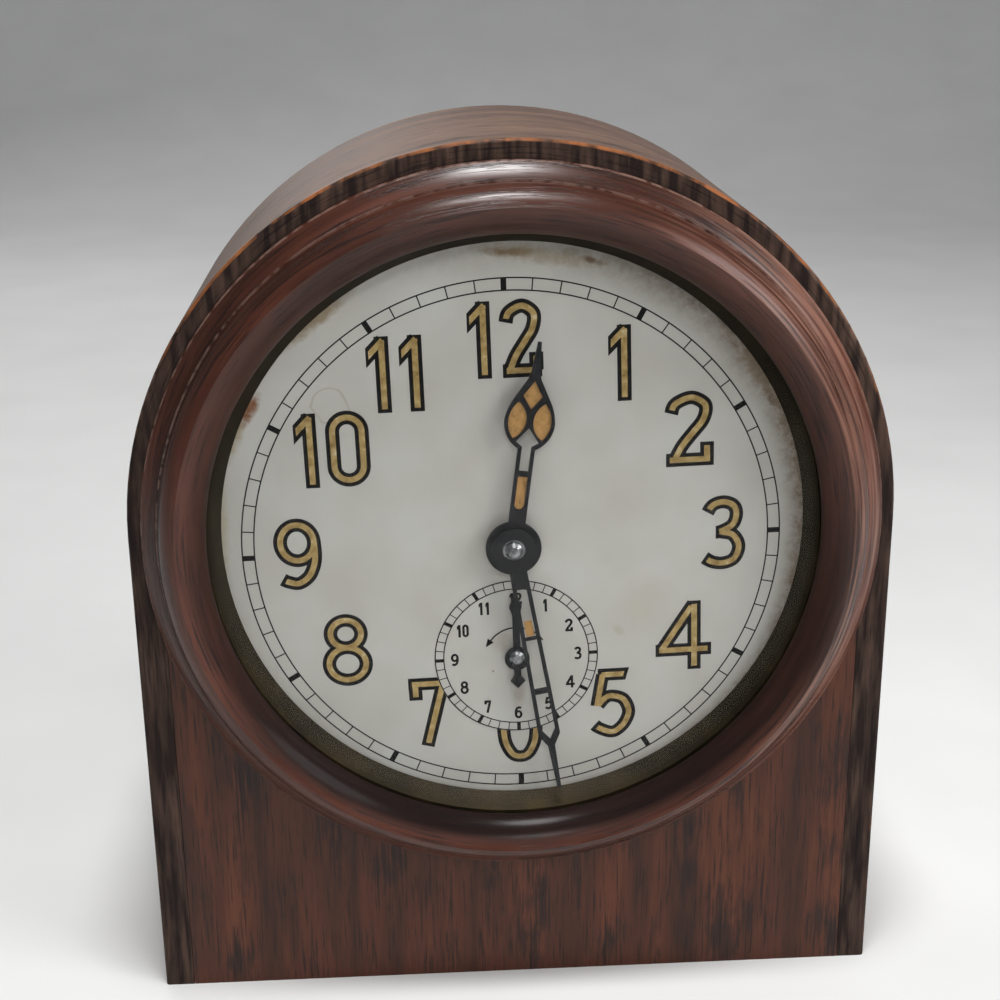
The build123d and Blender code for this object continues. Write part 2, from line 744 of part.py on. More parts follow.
hour_front_y = dial_y - hour_hand_lift - hand_thickness
minute_back_y = hour_front_y - hands_gap
minute_front_y = minute_back_y - hand_thickness
cannon_end_y = minute_front_y + hand_thickness / 2
centre_turn = meshing_turn(great_bearing + 180, pinion_leaves, 0, great_teeth)
centre_arbor = rod(centre_spot, centre_arbor_radius, cannon_end_y + joint_gap, rear_y)
centre_arbor += pinion(centre_spot, pinion_leaves, great_module, centre_turn, great_y, pinion_length)
save_in_movement("centre_arbor", centre_arbor)
save_in_movement("centre_wheel", spoked_wheel(
    centre_spot, centre_teeth, centre_module, 0, centre_y, centre_arbor_radius + seat_gap))

third_turn = meshing_turn(third_bearing, pinion_leaves, 0, centre_teeth)
third_arbor = pivoted_arbor(third_spot, arbor_radius)
third_pinion_y = rear_plate_y - air_gap - pinion_length / 2
third_arbor += pinion(third_spot, pinion_leaves, centre_module, third_turn, third_pinion_y, pinion_length)
save_in_movement("third_arbor", third_arbor)
save_in_movement("third_wheel", spoked_wheel(third_spot, third_teeth, third_module, 0, third_y, wheel_bore))

fourth_turn = meshing_turn(fourth_bearing, pinion_leaves, 0, third_teeth)
fourth_arbor = pivoted_arbor(fourth_spot, arbor_radius)
fourth_arbor += pinion(fourth_spot, pinion_leaves, third_module, fourth_turn, third_y, pinion_length)
save_in_movement("fourth_arbor", fourth_arbor)
save_in_movement("fourth_wheel", spoked_wheel(
    fourth_spot, fourth_teeth, fourth_module, 0, fourth_y, wheel_bore))

escape_turn = meshing_turn(escape_bearing, pinion_leaves, 0, fourth_teeth)
escape_arbor = pivoted_arbor(escape_spot, arbor_radius)
escape_arbor += pinion(escape_spot, pinion_leaves, fourth_module, escape_turn, fourth_y, pinion_length)
save_in_movement("escape_arbor", escape_arbor)
escape_outline = sawtooth(escape_teeth, escape_tip_radius, escape_root_radius, 0)
escape_face = Pos(*escape_spot) * crossed(escape_outline, escape_root_radius - wheel_rim, wheel_bore)
save_in_movement("escape_wheel", slab(
    escape_face, escape_y - wheel_thickness / 2, escape_y + wheel_thickness / 2))

# Pin-pallet lever: two steel pins face the escape wheel and a fork takes the balance's impulse pin
lever_y = rear_plate_y - lever_depth
lever_front = lever_y - lever_thickness / 2
lever_back = lever_y + lever_thickness / 2
pallet_spots = [polar(escape_spot, pallet_ring_radius, side * pallet_angle) for side in (-1, 1)]
fork_tip = lever_reach - impulse_ring_radius + impulse_pin_radius + fork_slot_gap
lever_outline = bar(lever_spot, (lever_spot[0] + fork_tip - fork_length, lever_spot[1]), lever_width)
fork_middle = lever_spot[0] + fork_tip - fork_length / 2
lever_outline += Pos(fork_middle, lever_spot[1]) * Rectangle(fork_length, fork_width)
for spot in pallet_spots:
    lever_outline += bar(lever_spot, spot, lever_width)
slot_width = 2 * (impulse_pin_radius + fork_slot_gap)
slot_depth = 2 * impulse_pin_radius + 2 * fork_slot_gap
slot_middle = lever_spot[0] + fork_tip - slot_depth / 2 + overrun / 2
lever_outline -= Pos(slot_middle, lever_spot[1]) * Rectangle(slot_depth + overrun, slot_width)
lever_outline -= Pos(*lever_spot) * Circle(wheel_bore)
pallet_lever = slab(lever_outline, lever_front, lever_back)
for spot in pallet_spots:
    pallet_lever += rod(spot, pallet_pin_radius, lever_front - pallet_pin_length, lever_front)
save_in_movement("pallet_lever", pallet_lever, pivoted_arbor(lever_spot, arbor_radius))

# Balance wheel on a staff that runs in two pivot screws
balance_y = rear_plate_y - balance_depth
balance_front = balance_y - balance_thickness / 2
balance_face = Circle(balance_radius) - Circle(balance_radius - balance_rim)
balance_face += Rectangle(2 * (balance_radius - balance_rim / 2), balance_arm_width)
balance_face += Circle(impulse_ring_radius)
balance_face -= Circle(staff_radius + seat_gap)
balance_wheel = slab(Pos(*balance_spot) * balance_face, balance_front, balance_y + balance_thickness / 2)
impulse_spot = (balance_spot[0] - impulse_ring_radius, balance_spot[1])
impulse_front = lever_front - air_gap
balance_wheel += rod(impulse_spot, impulse_pin_radius, impulse_front, balance_front)
save_in_movement("balance_wheel", balance_wheel)

staff_front = plate_back_y + staff_screw_depth + joint_gap
staff_back = rear_plate_y - staff_screw_depth - joint_gap
staff_pivot = staff_screw_depth / 2
staff = rod(balance_spot, staff_radius, staff_front, staff_back)
staff += rod(balance_spot, pivot_radius, staff_front - staff_pivot, staff_back + staff_pivot)
hairspring_y = rear_plate_y - hairspring_depth
half_strip = hairspring_thickness / 2
collet_radius = hairspring_start_radius - half_strip - running_gap
staff += rod(balance_spot, collet_radius, hairspring_y - hairspring_height, hairspring_y + hairspring_height)
save_in_movement("balance_staff", staff)
screw_hole = rod(balance_spot, pivot_radius + running_gap, staff_front - staff_pivot - joint_gap,
                 staff_back + staff_pivot + joint_gap)
front_screw = rod(balance_spot, staff_screw_radius, plate_y, plate_back_y + staff_screw_depth) - screw_hole
rear_screw = rod(balance_spot, staff_screw_radius, rear_plate_y - staff_screw_depth, rear_y) - screw_hole

# Hairspring: a flat spiral of half-turn arcs round the staff's collet, pinned to a stud on the back plate
def spiral(offset):
    arcs = []
    for half in range(2 * hairspring_turns):
        side = 1 if half % 2 == 0 else -1
        start = hairspring_start_radius + offset + hairspring_pitch * half / 2
        end = start + hairspring_pitch / 2
        middle = (start + end) / 2
        top = (side * (start - end) / 2, side * middle)
        arcs.append(ThreePointArc((side * start, 0), top, (-side * end, 0)))
    return arcs


spring_end_radius = hairspring_start_radius + hairspring_turns * hairspring_pitch
inner_run = spiral(-half_strip)
outer_run = spiral(half_strip)
caps = [Line((hairspring_start_radius - half_strip, 0), (hairspring_start_radius + half_strip, 0)),
        Line((spring_end_radius - half_strip, 0), (spring_end_radius + half_strip, 0))]
spring_face = Pos(*balance_spot) * make_face(inner_run + outer_run + caps)
hairspring = slab(spring_face, hairspring_y - hairspring_height / 2, hairspring_y + hairspring_height / 2)
save_in_movement("hairspring", hairspring)
turn_points = [[arc @ (step / 6) for step in range(7)] for arc in spiral(0)]
turn_gap = min((first - second).length - hairspring_thickness
               for early, late in zip(turn_points, turn_points[2:]) for first in early for second in late)
print("least gap between turns of the hairspring: %.2f mm" % turn_gap)

stud_reach = spring_end_radius + half_strip + hairspring_stud_radius + seat_gap
stud_spot = (balance_spot[0] + stud_reach, balance_spot[1])
stud = rod(stud_spot, hairspring_stud_radius, hairspring_y - hairspring_height, rear_plate_y)
save_in_movement("balance_screws", front_screw, rear_screw, stud)

# Regulator: a ring on the rear pivot screw with a pointer that stands above the plates
regulator_y = rear_plate_y - regulator_depth
pointer_end = polar(balance_spot, regulator_arm_length, regulator_bearing)
regulator = Pos(*balance_spot) * Circle(regulator_ring_radius)
regulator += bar(balance_spot, pointer_end, regulator_arm_width)
regulator -= Pos(*balance_spot) * Circle(staff_screw_radius + running_gap)
save_in_movement("regulator", slab(
    regulator, regulator_y - regulator_thickness / 2, regulator_y + regulator_thickness / 2))

# Motion work: the cannon pinion turns the minute wheel, and its pinion turns the hour wheel
minute_wheel_y = plate_y - minute_wheel_lift
hour_wheel_y = plate_y - hour_wheel_lift
cannon = pinion(centre_spot, cannon_teeth, minute_module, 0, minute_wheel_y, pinion_length)
cannon += rod(centre_spot, cannon_pipe_radius, cannon_end_y, minute_wheel_y)
cannon -= rod(centre_spot, centre_arbor_radius + running_gap, cannon_end_y - overrun, plate_y)
save_in_movement("cannon_pinion", cannon)

minute_turn = meshing_turn(minute_wheel_bearing, minute_wheel_teeth, 0, cannon_teeth)
save_in_movement("minute_wheel", spoked_wheel(
    set_spot, minute_wheel_teeth, minute_module, minute_turn, minute_wheel_y, set_arbor_radius + seat_gap))
set_end_y = rear_y + knob_lift + knob_length
set_front_y = hour_wheel_y - wheel_thickness
set_arbor = rod(set_spot, set_arbor_radius, set_front_y, set_end_y)
set_arbor += pinion(set_spot, minute_pinion_teeth, hour_module, 0, hour_wheel_y, 2 * wheel_thickness)
save_in_movement("set_arbor", set_arbor)

hour_turn = meshing_turn(minute_wheel_bearing + 180, hour_wheel_teeth, 0, minute_pinion_teeth)
hour_bore = cannon_pipe_radius + running_gap
hour_wheel = spoked_wheel(centre_spot, hour_wheel_teeth, hour_module, hour_turn, hour_wheel_y, hour_bore)
hour_wheel += rod(centre_spot, hour_pipe_radius, hour_front_y, hour_wheel_y)
hour_wheel -= rod(centre_spot, hour_bore, hour_front_y - overrun, plate_y)
save_in_movement("hour_wheel", hour_wheel)

alarm_turn = meshing_turn(-90, hour_wheel_teeth, hour_turn, hour_wheel_teeth)
save_in_movement("alarm_wheel", spoked_wheel(
    alarm_spot, hour_wheel_teeth, hour_module, alarm_turn, hour_wheel_y, alarm_arbor_radius + running_gap))


def setting_knob(spot, arbor):
    start = rear_y + knob_lift
    grip = [(across * knob_radius, start + along * knob_length) for across, along in knob_shares]
    return turned(spot, [(arbor + seat_gap, start), *grip, (arbor + seat_gap, start + knob_length)])


save_in_movement("set_knob", setting_knob(set_spot, set_arbor_radius))
save_in_movement("alarm_knob", setting_knob(alarm_spot, alarm_arbor_radius))
alarm_hand_front = dial_y - alarm_hand_lift - alarm_hand_thickness
alarm_tip_y = alarm_hand_front - alarm_pin_height
tip_across, tip_along = alarm_tip_shares
alarm_arbor = turned(alarm_spot, [
    (0, alarm_tip_y), (tip_across * alarm_arbor_radius, alarm_tip_y + tip_along * alarm_pin_height),
    (alarm_arbor_radius, alarm_hand_front), (alarm_arbor_radius, set_end_y), (0, set_end_y)])
save_in_movement("alarm_set_arbor", alarm_arbor)


# Hands: blackened steel blades with open windows, drawn pointing up and then turned
def mirrored(points):
    return points + [(-across, along) for across, along in reversed(points) if across]


def scaled(shares, half_width, length):
    return [(across * half_width, along * length) for across, along in shares]


def blade(points):
    return make_face(Polyline(*points, close=True))


hour_neck_share = 0.49
hour_flank_shares = [(0.848, 0.55), (1.0, 0.619), (0.865, 0.69), (0.663, 0.738)]
hour_needle_shares = [(0.242, 0.827), (0.17, 0.862), (0.071, 1.0)]
hour_house_shares = [(0.186, 0.382), (0.186, 0.5), (0.465, 0.523), (0.0, 0.593)]
hour_diamond_shares = [(0.0, 0.681), (0.384, 0.745), (0.0, 0.818)]
hour_lobe_shares = [(0.58, 0.536), (0.85, 0.626), (0.53, 0.715), (0.135, 0.6215)]
hour_slot_shares = (0.217, 0.358)


def hour_hand_outline():
    size = (hour_leaf_half_width, hour_hand_length)
    stem = hour_stem_width / 2
    neck = (stem, hour_neck_share * hour_hand_length)
    flank, widest, brow, fall = scaled(hour_flank_shares, *size)
    needle = scaled(hour_needle_shares, *size)
    half_leaf = make_face([
        Polyline((0, 0), (stem, 0), neck), ThreePointArc(neck, flank, widest),
        ThreePointArc(widest, brow, fall), Polyline(fall, *needle, (0, hour_hand_length), (0, 0))])
    outline = Circle(hour_hub_radius) + half_leaf + mirror(half_leaf, Plane.YZ)
    foot, head = (share * hour_hand_length for share in hour_slot_shares)
    window = hour_stem_width - 2 * hour_strip_width
    outline -= Pos(0, (foot + head) / 2) * Rectangle(window, head - foot) + Pos(0, foot) * Circle(window / 2)
    outline -= blade(mirrored(scaled(hour_house_shares, *size)))
    outline -= blade(mirrored(scaled(hour_diamond_shares, *size)))
    foot, outer, head, inner = scaled(hour_lobe_shares, *size)
    lobe = make_face([ThreePointArc(foot, outer, head), ThreePointArc(head, inner, foot)])
    return outline - lobe - mirror(lobe, Plane.YZ) - Circle(hour_pipe_radius + seat_gap)


minute_window_shares = [(0.157, 0.356), (0.367, 0.573), (0.594, 0.75)]
minute_point_share = 0.79
minute_shoulder_share = 0.768
minute_needle_share = 0.816
minute_tip_share = 0.27


def minute_half_width(along):
    grown = (minute_shoulder_width - minute_stem_width) * along / (minute_shoulder_share * minute_hand_length)
    return (minute_stem_width + grown) / 2


def minute_hand_outline():
    shoulder = minute_shoulder_share * minute_hand_length
    needle = minute_needle_width / 2
    tip = minute_tip_share * minute_needle_width
    points = [(minute_stem_width / 2, 0), (minute_shoulder_width / 2, shoulder),
              (needle, minute_needle_share * minute_hand_length), (tip, minute_hand_length)]
    outline = Circle(minute_hub_radius) + blade(mirrored(points))
    for number, shares in enumerate(minute_window_shares):
        low, high = (share * minute_hand_length for share in shares)
        corners = [(minute_half_width(along) - minute_strip_width, along) for along in (low, high)]
        if number == len(minute_window_shares) - 1:
            corners.append((0, minute_point_share * minute_hand_length))
        outline -= blade(mirrored(corners))
    return outline - Circle(cannon_pipe_radius + seat_gap)


alarm_tail_shares = (0.76, 0.6)
alarm_head_shares = (0.66, 0.78)


def alarm_hand_outline():
    half = alarm_stem_width / 2
    head = alarm_head_width / 2
    tail = alarm_tail_width / 2
    barb, neck = (-share * alarm_tail_length for share in alarm_tail_shares)
    collar, shoulder = (share * alarm_hand_length for share in alarm_head_shares)
    points = [(0, -alarm_tail_length), (tail, barb), (half, neck), (half, collar), (head, shoulder),
              (0, alarm_hand_length)]
    return Circle(alarm_hub_radius) + blade(mirrored(points)) - Circle(alarm_arbor_radius + seat_gap)


hour_face = Rot(0, 0, -hour_hand_angle - dial_turn) * hour_hand_outline()
save_in_movement("hour_hand", slab(hour_face, hour_front_y, hour_front_y + hand_thickness))
minute_face = Rot(0, 0, -minute_hand_angle - dial_turn) * minute_hand_outline()
save_in_movement("minute_hand", slab(minute_face, minute_front_y, minute_back_y))
alarm_face = Pos(*alarm_spot) * alarm_hand_outline()
save_in_movement("alarm_hand", slab(alarm_face, alarm_hand_front, alarm_hand_front + alarm_hand_thickness))
nut_tip_y = cannon_end_y - hand_nut_height
nut_crown = []
for across, along in hand_nut_shares:
    nut_crown.append((across * hand_nut_radius, nut_tip_y + along * hand_nut_height))
save_in_movement("hand_nut", turned(centre_spot, [
    (0, nut_tip_y), *nut_crown, (hand_nut_radius, cannon_end_y), (0, cannon_end_y)]))

# Alarm train: an escape wheel rocks the verge, whose arbor carries the hammer behind the back plate
alarm_escape_turn = meshing_turn(alarm_escape_bearing, pinion_leaves, 0, alarm_great_teeth)
alarm_escape_y = rear_plate_y - alarm_escape_depth + wheel_thickness / 2
alarm_escape_arbor = pivoted_arbor(alarm_escape_spot, arbor_radius)
alarm_escape_arbor += pinion(
    alarm_escape_spot, pinion_leaves, alarm_great_module, alarm_escape_turn, great_y, great_wheel_thickness)
save_in_movement("alarm_escape_arbor", alarm_escape_arbor)
alarm_escape_outline = sawtooth(alarm_escape_teeth, alarm_escape_tip_radius, alarm_escape_root_radius, 0)
alarm_escape_face = crossed(alarm_escape_outline, alarm_escape_root_radius - wheel_rim, wheel_bore)
save_in_movement("alarm_escape_wheel", slab(
    Pos(*alarm_escape_spot) * alarm_escape_face, alarm_escape_y - wheel_thickness / 2,
    alarm_escape_y + wheel_thickness / 2))

verge_back = alarm_escape_y - wheel_thickness / 2 - air_gap
verge_front = verge_back - lever_thickness
verge_bearings = [hammer_bearing + side * verge_angle for side in (-1, 1)]
verge_spots = [polar(alarm_escape_spot, verge_ring_radius, bearing) for bearing in verge_bearings]
verge_outline = Pos(*hammer_spot) * Circle(lever_width)
for spot in verge_spots:
    verge_outline += bar(hammer_spot, spot, lever_width)
hammer_arm_front = rear_y + hammer_arm_lift
hammer_arm_back = hammer_arm_front + hammer_arm_thickness
verge = slab(verge_outline, verge_front, verge_back)
for spot in verge_spots:
    verge += rod(spot, pallet_pin_radius, verge_back, alarm_escape_y + wheel_thickness / 2)
verge += rod(hammer_spot, set_arbor_radius, plate_y, hammer_arm_back)
save_in_movement("hammer_verge", verge)
head_spot = (bell_x - bell_radius + hammer_room, bell_z)
arm_outline = bar(hammer_spot, head_spot, hammer_arm_width) + Pos(*hammer_spot) * Circle(hammer_boss_radius)
arm_outline -= Pos(*hammer_spot) * Circle(set_arbor_radius + seat_gap)
hammer = slab(arm_outline, hammer_arm_front, hammer_arm_back)
hammer += rod(head_spot, hammer_head_radius, hammer_arm_front, hammer_arm_front + hammer_head_length)
save_in_movement("hammer", hammer)

# Bell on its post, its mouth towards the back plate
bell_rim_y = rear_y + bell_lift
bell_shoulder_y = bell_rim_y + bell_depth * (1 - bell_shoulder_share)
bell_crown_y = bell_rim_y + bell_depth
post_bore = bell_post_radius + seat_gap
crown_under_y = bell_crown_y - bell_wall
bell_shoulder_radius = bell_radius - bell_flare_width
bell_crown_radius = bell_shoulder_radius - bell_dome_width
inner_shoulder = (bell_shoulder_radius - bell_wall, bell_shoulder_y - bell_wall * bell_shoulder_share)
bell_edges = [
    ThreePointArc((bell_radius, bell_rim_y), (bell_shoulder_radius, bell_shoulder_y),
                  (bell_crown_radius, bell_crown_y)),
    Polyline((bell_crown_radius, bell_crown_y), (post_bore, bell_crown_y), (post_bore, crown_under_y),
             (bell_crown_radius, crown_under_y)),
    ThreePointArc((bell_crown_radius, crown_under_y), inner_shoulder, (bell_radius - bell_wall, bell_rim_y)),
    Line((bell_radius - bell_wall, bell_rim_y), (bell_radius, bell_rim_y))]
bell = Pos(bell_x, 0, bell_z) * revolve(make_face(bell_edges), Axis.Y)
save_in_movement("bell", bell)
post = rod(bell_spot, bell_post_radius, rear_plate_y, bell_crown_y + nut_thickness)
post += rod(bell_spot, bell_post_shoulder_radius, rear_y, crown_under_y)
bell_nut = Pos(*bell_spot) * (RegularPolygon(nut_radius, nut_sides) - Circle(post_bore))
save_in_movement("bell_post", post, slab(bell_nut, bell_crown_y, bell_crown_y + nut_thickness))
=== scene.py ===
import json
import math

import bmesh
import bpy
from mathutils import Euler, Matrix, Vector

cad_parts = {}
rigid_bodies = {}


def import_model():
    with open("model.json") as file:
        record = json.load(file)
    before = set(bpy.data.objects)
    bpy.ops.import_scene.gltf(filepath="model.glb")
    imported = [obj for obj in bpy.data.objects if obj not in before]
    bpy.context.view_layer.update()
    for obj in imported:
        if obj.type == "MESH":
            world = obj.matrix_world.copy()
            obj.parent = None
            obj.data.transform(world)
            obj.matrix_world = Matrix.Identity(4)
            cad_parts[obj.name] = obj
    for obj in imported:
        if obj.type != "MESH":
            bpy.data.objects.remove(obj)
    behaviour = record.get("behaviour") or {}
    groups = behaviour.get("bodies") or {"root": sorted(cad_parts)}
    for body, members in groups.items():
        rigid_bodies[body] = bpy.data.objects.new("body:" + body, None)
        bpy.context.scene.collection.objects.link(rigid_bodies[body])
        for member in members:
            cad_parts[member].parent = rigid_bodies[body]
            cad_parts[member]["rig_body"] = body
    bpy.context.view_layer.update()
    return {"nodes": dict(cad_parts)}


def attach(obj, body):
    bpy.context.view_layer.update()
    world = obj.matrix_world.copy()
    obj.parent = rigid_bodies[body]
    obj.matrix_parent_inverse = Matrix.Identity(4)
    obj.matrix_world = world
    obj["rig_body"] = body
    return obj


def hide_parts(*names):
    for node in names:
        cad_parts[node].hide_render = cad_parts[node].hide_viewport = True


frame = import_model()

# Camera: a hand-held view from in front, a little above the clock and a little to its left.
lens = bpy.data.cameras.new("photo_camera")
lens.lens = 59.296
lens.clip_start = 0.01
camera = bpy.data.objects.new("photo_camera", lens)
camera.location = (-0.01983, -0.33815, 0.21211)
camera.rotation_euler = Euler([math.radians(turn) for turn in (71.259, 0.587, -3.349)])
bpy.context.scene.collection.objects.link(camera)
bpy.context.scene.camera = camera

# Case shell: a 6 mm oak board bent over a former into an arch, with straight legs down to the base.
# It is stained dark red-brown and shellacked. Handling has worn its front arris back to bare orange wood.
mm = 0.001
arch_height = 102.0 * mm
case_half_width = 76.0 * mm
case_front = -32.0 * mm


def linear(code):
    """Linear colour of an sRGB hex value."""
    parts = [int(code[k:k + 2], 16) / 255 for k in (1, 3, 5)]
    return [p / 12.92 if p < 0.04045 else ((p + 0.055) / 1.055) ** 2.4 for p in parts] + [1.0]


def add(tree, kind, inputs=None, stops=(), **settings):
    """Adds a node with its settings. An input is a value, or the socket that it is linked from, and the stops of
    a colour ramp are positions with hex colours, in order."""
    made = tree.nodes.new(kind)
    for key, value in settings.items():
        setattr(made, key, value)
    for key, value in (inputs or {}).items():
        if isinstance(value, bpy.types.NodeSocket):
            tree.links.new(value, made.inputs[key])
        else:
            made.inputs[key].default_value = value
    for k, (position, code) in enumerate(stops):
        stop = made.color_ramp.elements[k] if k < 2 else made.color_ramp.elements.new(position)
        stop.position, stop.color = position, linear(code)
    return made


def stained_oak(name, tones, lines_at=None, marks=None, polish=(0.36, 0.52), pooling=0.765, index=1.33):
    """Oak under dark stain and shellac: broad brown figure, ragged black blotches where the stain pooled in soft
    grain, and open pores that hold it as fine black dashes, drawn a little wide so that they show. lines_at turns
    a place so that the grain runs along its third axis, marks adds the piece's own wear, and on the bezel painted
    light and shade, to the colour and says where the polish is gone, and a higher pooling leaves fewer blotches."""
    finish = bpy.data.materials.new(name)
    finish.use_nodes = True
    tree = finish.node_tree
    surface = tree.nodes["Principled BSDF"]
    place = add(tree, "ShaderNodeTexCoord").outputs["Object"]
    lines = lines_at(tree, place) if lines_at else place
    # Width and length of each kind of mark, in mm
    spans = {"figure": (8, 80), "blotch": (8, 30), "fray": (0.8, 20), "pore": (0.5, 13)}
    noise = {}
    for key, (wide, long) in spans.items():
        drawn = add(tree, "ShaderNodeMapping",
                    {"Vector": lines, "Scale": (1 / (wide * mm), 1 / (wide * mm), 1 / (long * mm))})
        noise[key] = add(tree, "ShaderNodeTexNoise", {"Vector": drawn.outputs["Vector"], "Scale": 1.0, "Detail": 4.0,
                                                      "Roughness": 0.6}).outputs["Fac"]
    brown = add(tree, "ShaderNodeValToRGB", {"Fac": noise["figure"]},
                [(0.34, tones[0]), (0.5, tones[1]), (0.66, tones[2])]).outputs["Color"]
    frayed = add(tree, "ShaderNodeMath", {0: noise["fray"], 1: 0.5, 2: noise["blotch"]},
                 operation="MULTIPLY_ADD").outputs["Value"]
    pooled = add(tree, "ShaderNodeMapRange", {"Value": frayed, "From Min": pooling, "From Max": pooling + 0.13,
                                              "To Max": 0.75}).outputs["Result"]
    soaked = add(tree, "ShaderNodeMath", {0: pooled, 1: 0.06, 2: noise["pore"]}, operation="MULTIPLY_ADD")
    pore = add(tree, "ShaderNodeMapRange", {"Value": soaked.outputs["Value"], "From Min": 0.53, "From Max": 0.64,
                                            "To Max": 0.72}).outputs["Result"]
    colour = add(tree, "ShaderNodeMix", {"Factor": pooled, "A": brown, "B": linear("#1D1313")},
                 data_type="RGBA").outputs["Result"]
    colour = add(tree, "ShaderNodeMix", {"Factor": pore, "A": colour, "B": linear("#140D0D")},
                 data_type="RGBA").outputs["Result"]
    matt = 0.0
    if marks:
        colour, matt = marks(tree, place, colour)
    tree.links.new(colour, surface.inputs["Base Color"])
    rubbed = add(tree, "ShaderNodeMapRange", {"Value": noise["figure"], "From Min": 0.3, "From Max": 0.7,
                                              "To Min": polish[0], "To Max": polish[1]})
    dulled = add(tree, "ShaderNodeMix", {"Factor": matt, "A": rubbed.outputs["Result"], "B": 0.75})
    tree.links.new(dulled.outputs["Result"], surface.inputs["Roughness"])
    shine = add(tree, "ShaderNodeMapRange", {"Value": matt, "To Min": 0.5, "To Max": 0.1})
    tree.links.new(shine.outputs["Result"], surface.inputs["Specular IOR Level"])
    dents = add(tree, "ShaderNodeBump", {"Strength": 0.4, "Distance": 0.12 * mm, "Height": pore}, invert=True)
    tree.links.new(dents.outputs["Normal"], surface.inputs["Normal"])
    surface.inputs["IOR"].default_value = index
    surface.inputs["Coat Weight"].default_value = 0.1
    surface.inputs["Coat Roughness"].default_value = 0.2
    return finish


def smooth_copy(name, finish):
    """The CAD node's own shape and smooth normals, in its real finish."""
    mesh = frame["nodes"][name].data.copy()
    mesh.materials.clear()
    mesh.materials.append(finish)
    piece = bpy.data.objects.new(name + "_finished", mesh)
    bpy.context.scene.collection.objects.link(piece)
    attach(piece, frame["nodes"][name]["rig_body"])
    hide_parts(name)
    return piece


def bent_grain(tree, place):
    """The grain follows the bend: the attribute holds the way round the arch."""
    return add(tree, "ShaderNodeAttribute", attribute_name="grain").outputs["Vector"]


def shell_wear(tree, place, colour):
    """The board's front edge, soaked nearly black by the stain, and bare orange wood along its outer corner, most
    of it over the top."""
    axes = add(tree, "ShaderNodeSeparateXYZ", {"Vector": place}).outputs
    streaks = add(tree, "ShaderNodeMapping", {"Vector": place, "Scale": (1 / (1.8 * mm), 0, 1 / (16 * mm))})
    streak = add(tree, "ShaderNodeTexNoise", {"Vector": streaks.outputs["Vector"], "Scale": 1.0, "Detail": 3.0})
    depth = add(tree, "ShaderNodeMapRange", {"Value": streak.outputs["Fac"], "From Min": 0.35, "From Max": 0.6,
                                             "To Min": 0.5, "To Max": 0.92}).outputs["Result"]
    front = add(tree, "ShaderNodeMapRange", {"Value": axes["Y"], "From Min": case_front + 0.7 * mm,
                                             "From Max": case_front + 0.3 * mm}).outputs["Result"]
    soaked = add(tree, "ShaderNodeMath", {0: front, 1: depth}, operation="MULTIPLY").outputs["Value"]
    colour = add(tree, "ShaderNodeMix", {"Factor": soaked, "A": colour, "B": linear("#171213")},
                 data_type="RGBA").outputs["Result"]
    above = add(tree, "ShaderNodeMath", {0: axes["Z"], 1: arch_height}, operation="SUBTRACT").outputs["Value"]
    rise = add(tree, "ShaderNodeMath", {0: above, 1: 0.0}, operation="MAXIMUM").outputs["Value"]
    flat = add(tree, "ShaderNodeCombineXYZ", {"X": axes["X"], "Z": rise}).outputs["Vector"]
    out = add(tree, "ShaderNodeVectorMath", {0: flat}, operation="LENGTH").outputs["Value"]
    edge = add(tree, "ShaderNodeMapRange", {"Value": out, "From Min": case_half_width - 1.0 * mm,
                                            "From Max": case_half_width - 0.5 * mm}).outputs["Result"]
    corner = add(tree, "ShaderNodeMapRange", {"Value": axes["Y"], "From Min": case_front + 1.3 * mm,
                                              "From Max": case_front + 0.7 * mm}).outputs["Result"]
    rubbed = add(tree, "ShaderNodeMapRange", {"Value": rise, "From Min": 15 * mm, "From Max": 62 * mm,
                                              "To Min": 0.6, "To Max": 1.05}).outputs["Result"]
    amount = add(tree, "ShaderNodeTexNoise", {"Vector": place, "Scale": 1 / (5 * mm), "Detail": 6.0}).outputs["Fac"]
    for share in (edge, corner, rubbed):
        amount = add(tree, "ShaderNodeMath", {0: amount, 1: share}, operation="MULTIPLY").outputs["Value"]
    bare = add(tree, "ShaderNodeMapRange", {"Value": amount, "From Min": 0.36, "From Max": 0.56}).outputs["Result"]
    colour = add(tree, "ShaderNodeMix", {"Factor": bare, "A": colour, "B": linear("#8E5733")},
                 data_type="RGBA").outputs["Result"]
    return colour, soaked


bent_oak = stained_oak("stained_oak_bent", ("#543D32", "#664C3E", "#755A4A"), bent_grain, shell_wear, pooling=0.84)
shell = smooth_copy("case_shell", bent_oak)
grain = shell.data.attributes.new("grain", "FLOAT_VECTOR", "POINT")
for spot, value in zip(shell.data.vertices, grain.data):
    x, y, z = spot.co
    rise = max(z - arch_height, 0.0)
    leg = min(z, arch_height)
    run = math.atan2(rise, x) * case_half_width + (leg if x > 0 else 2 * arch_height - leg)
    value.vector = (math.hypot(x, rise), y, run)

# Boards of the case: the front board let into the shell, the base board and the frame behind the door.
# Each is plain sawn oak with the grain upright, apart from the base, glued in before staining.
upright_oak = stained_oak("stained_oak_upright", ("#371C12", "#4F2A1B", "#633724"))


def level_grain(tree, place):
    """The base board's grain runs from side to side."""
    return add(tree, "ShaderNodeMapping", {"Vector": place, "Rotation": (0, math.radians(90), 0)}).outputs["Vector"]


level_oak = stained_oak("stained_oak_level", ("#2E1A13", "#4A2A1D", "#5F3925"), level_grain)
for name in ("front_board", "back_frame"):
    smooth_copy(name, upright_oak)
smooth_copy("base_board", level_oak)

# Back door: one oak panel shaped to the arch, bored with a ring of holes that let the bell be heard.
# It hangs on two brass butt hinges and is pulled open by a turned brass knob.
smooth_copy("back_door", upright_oak)


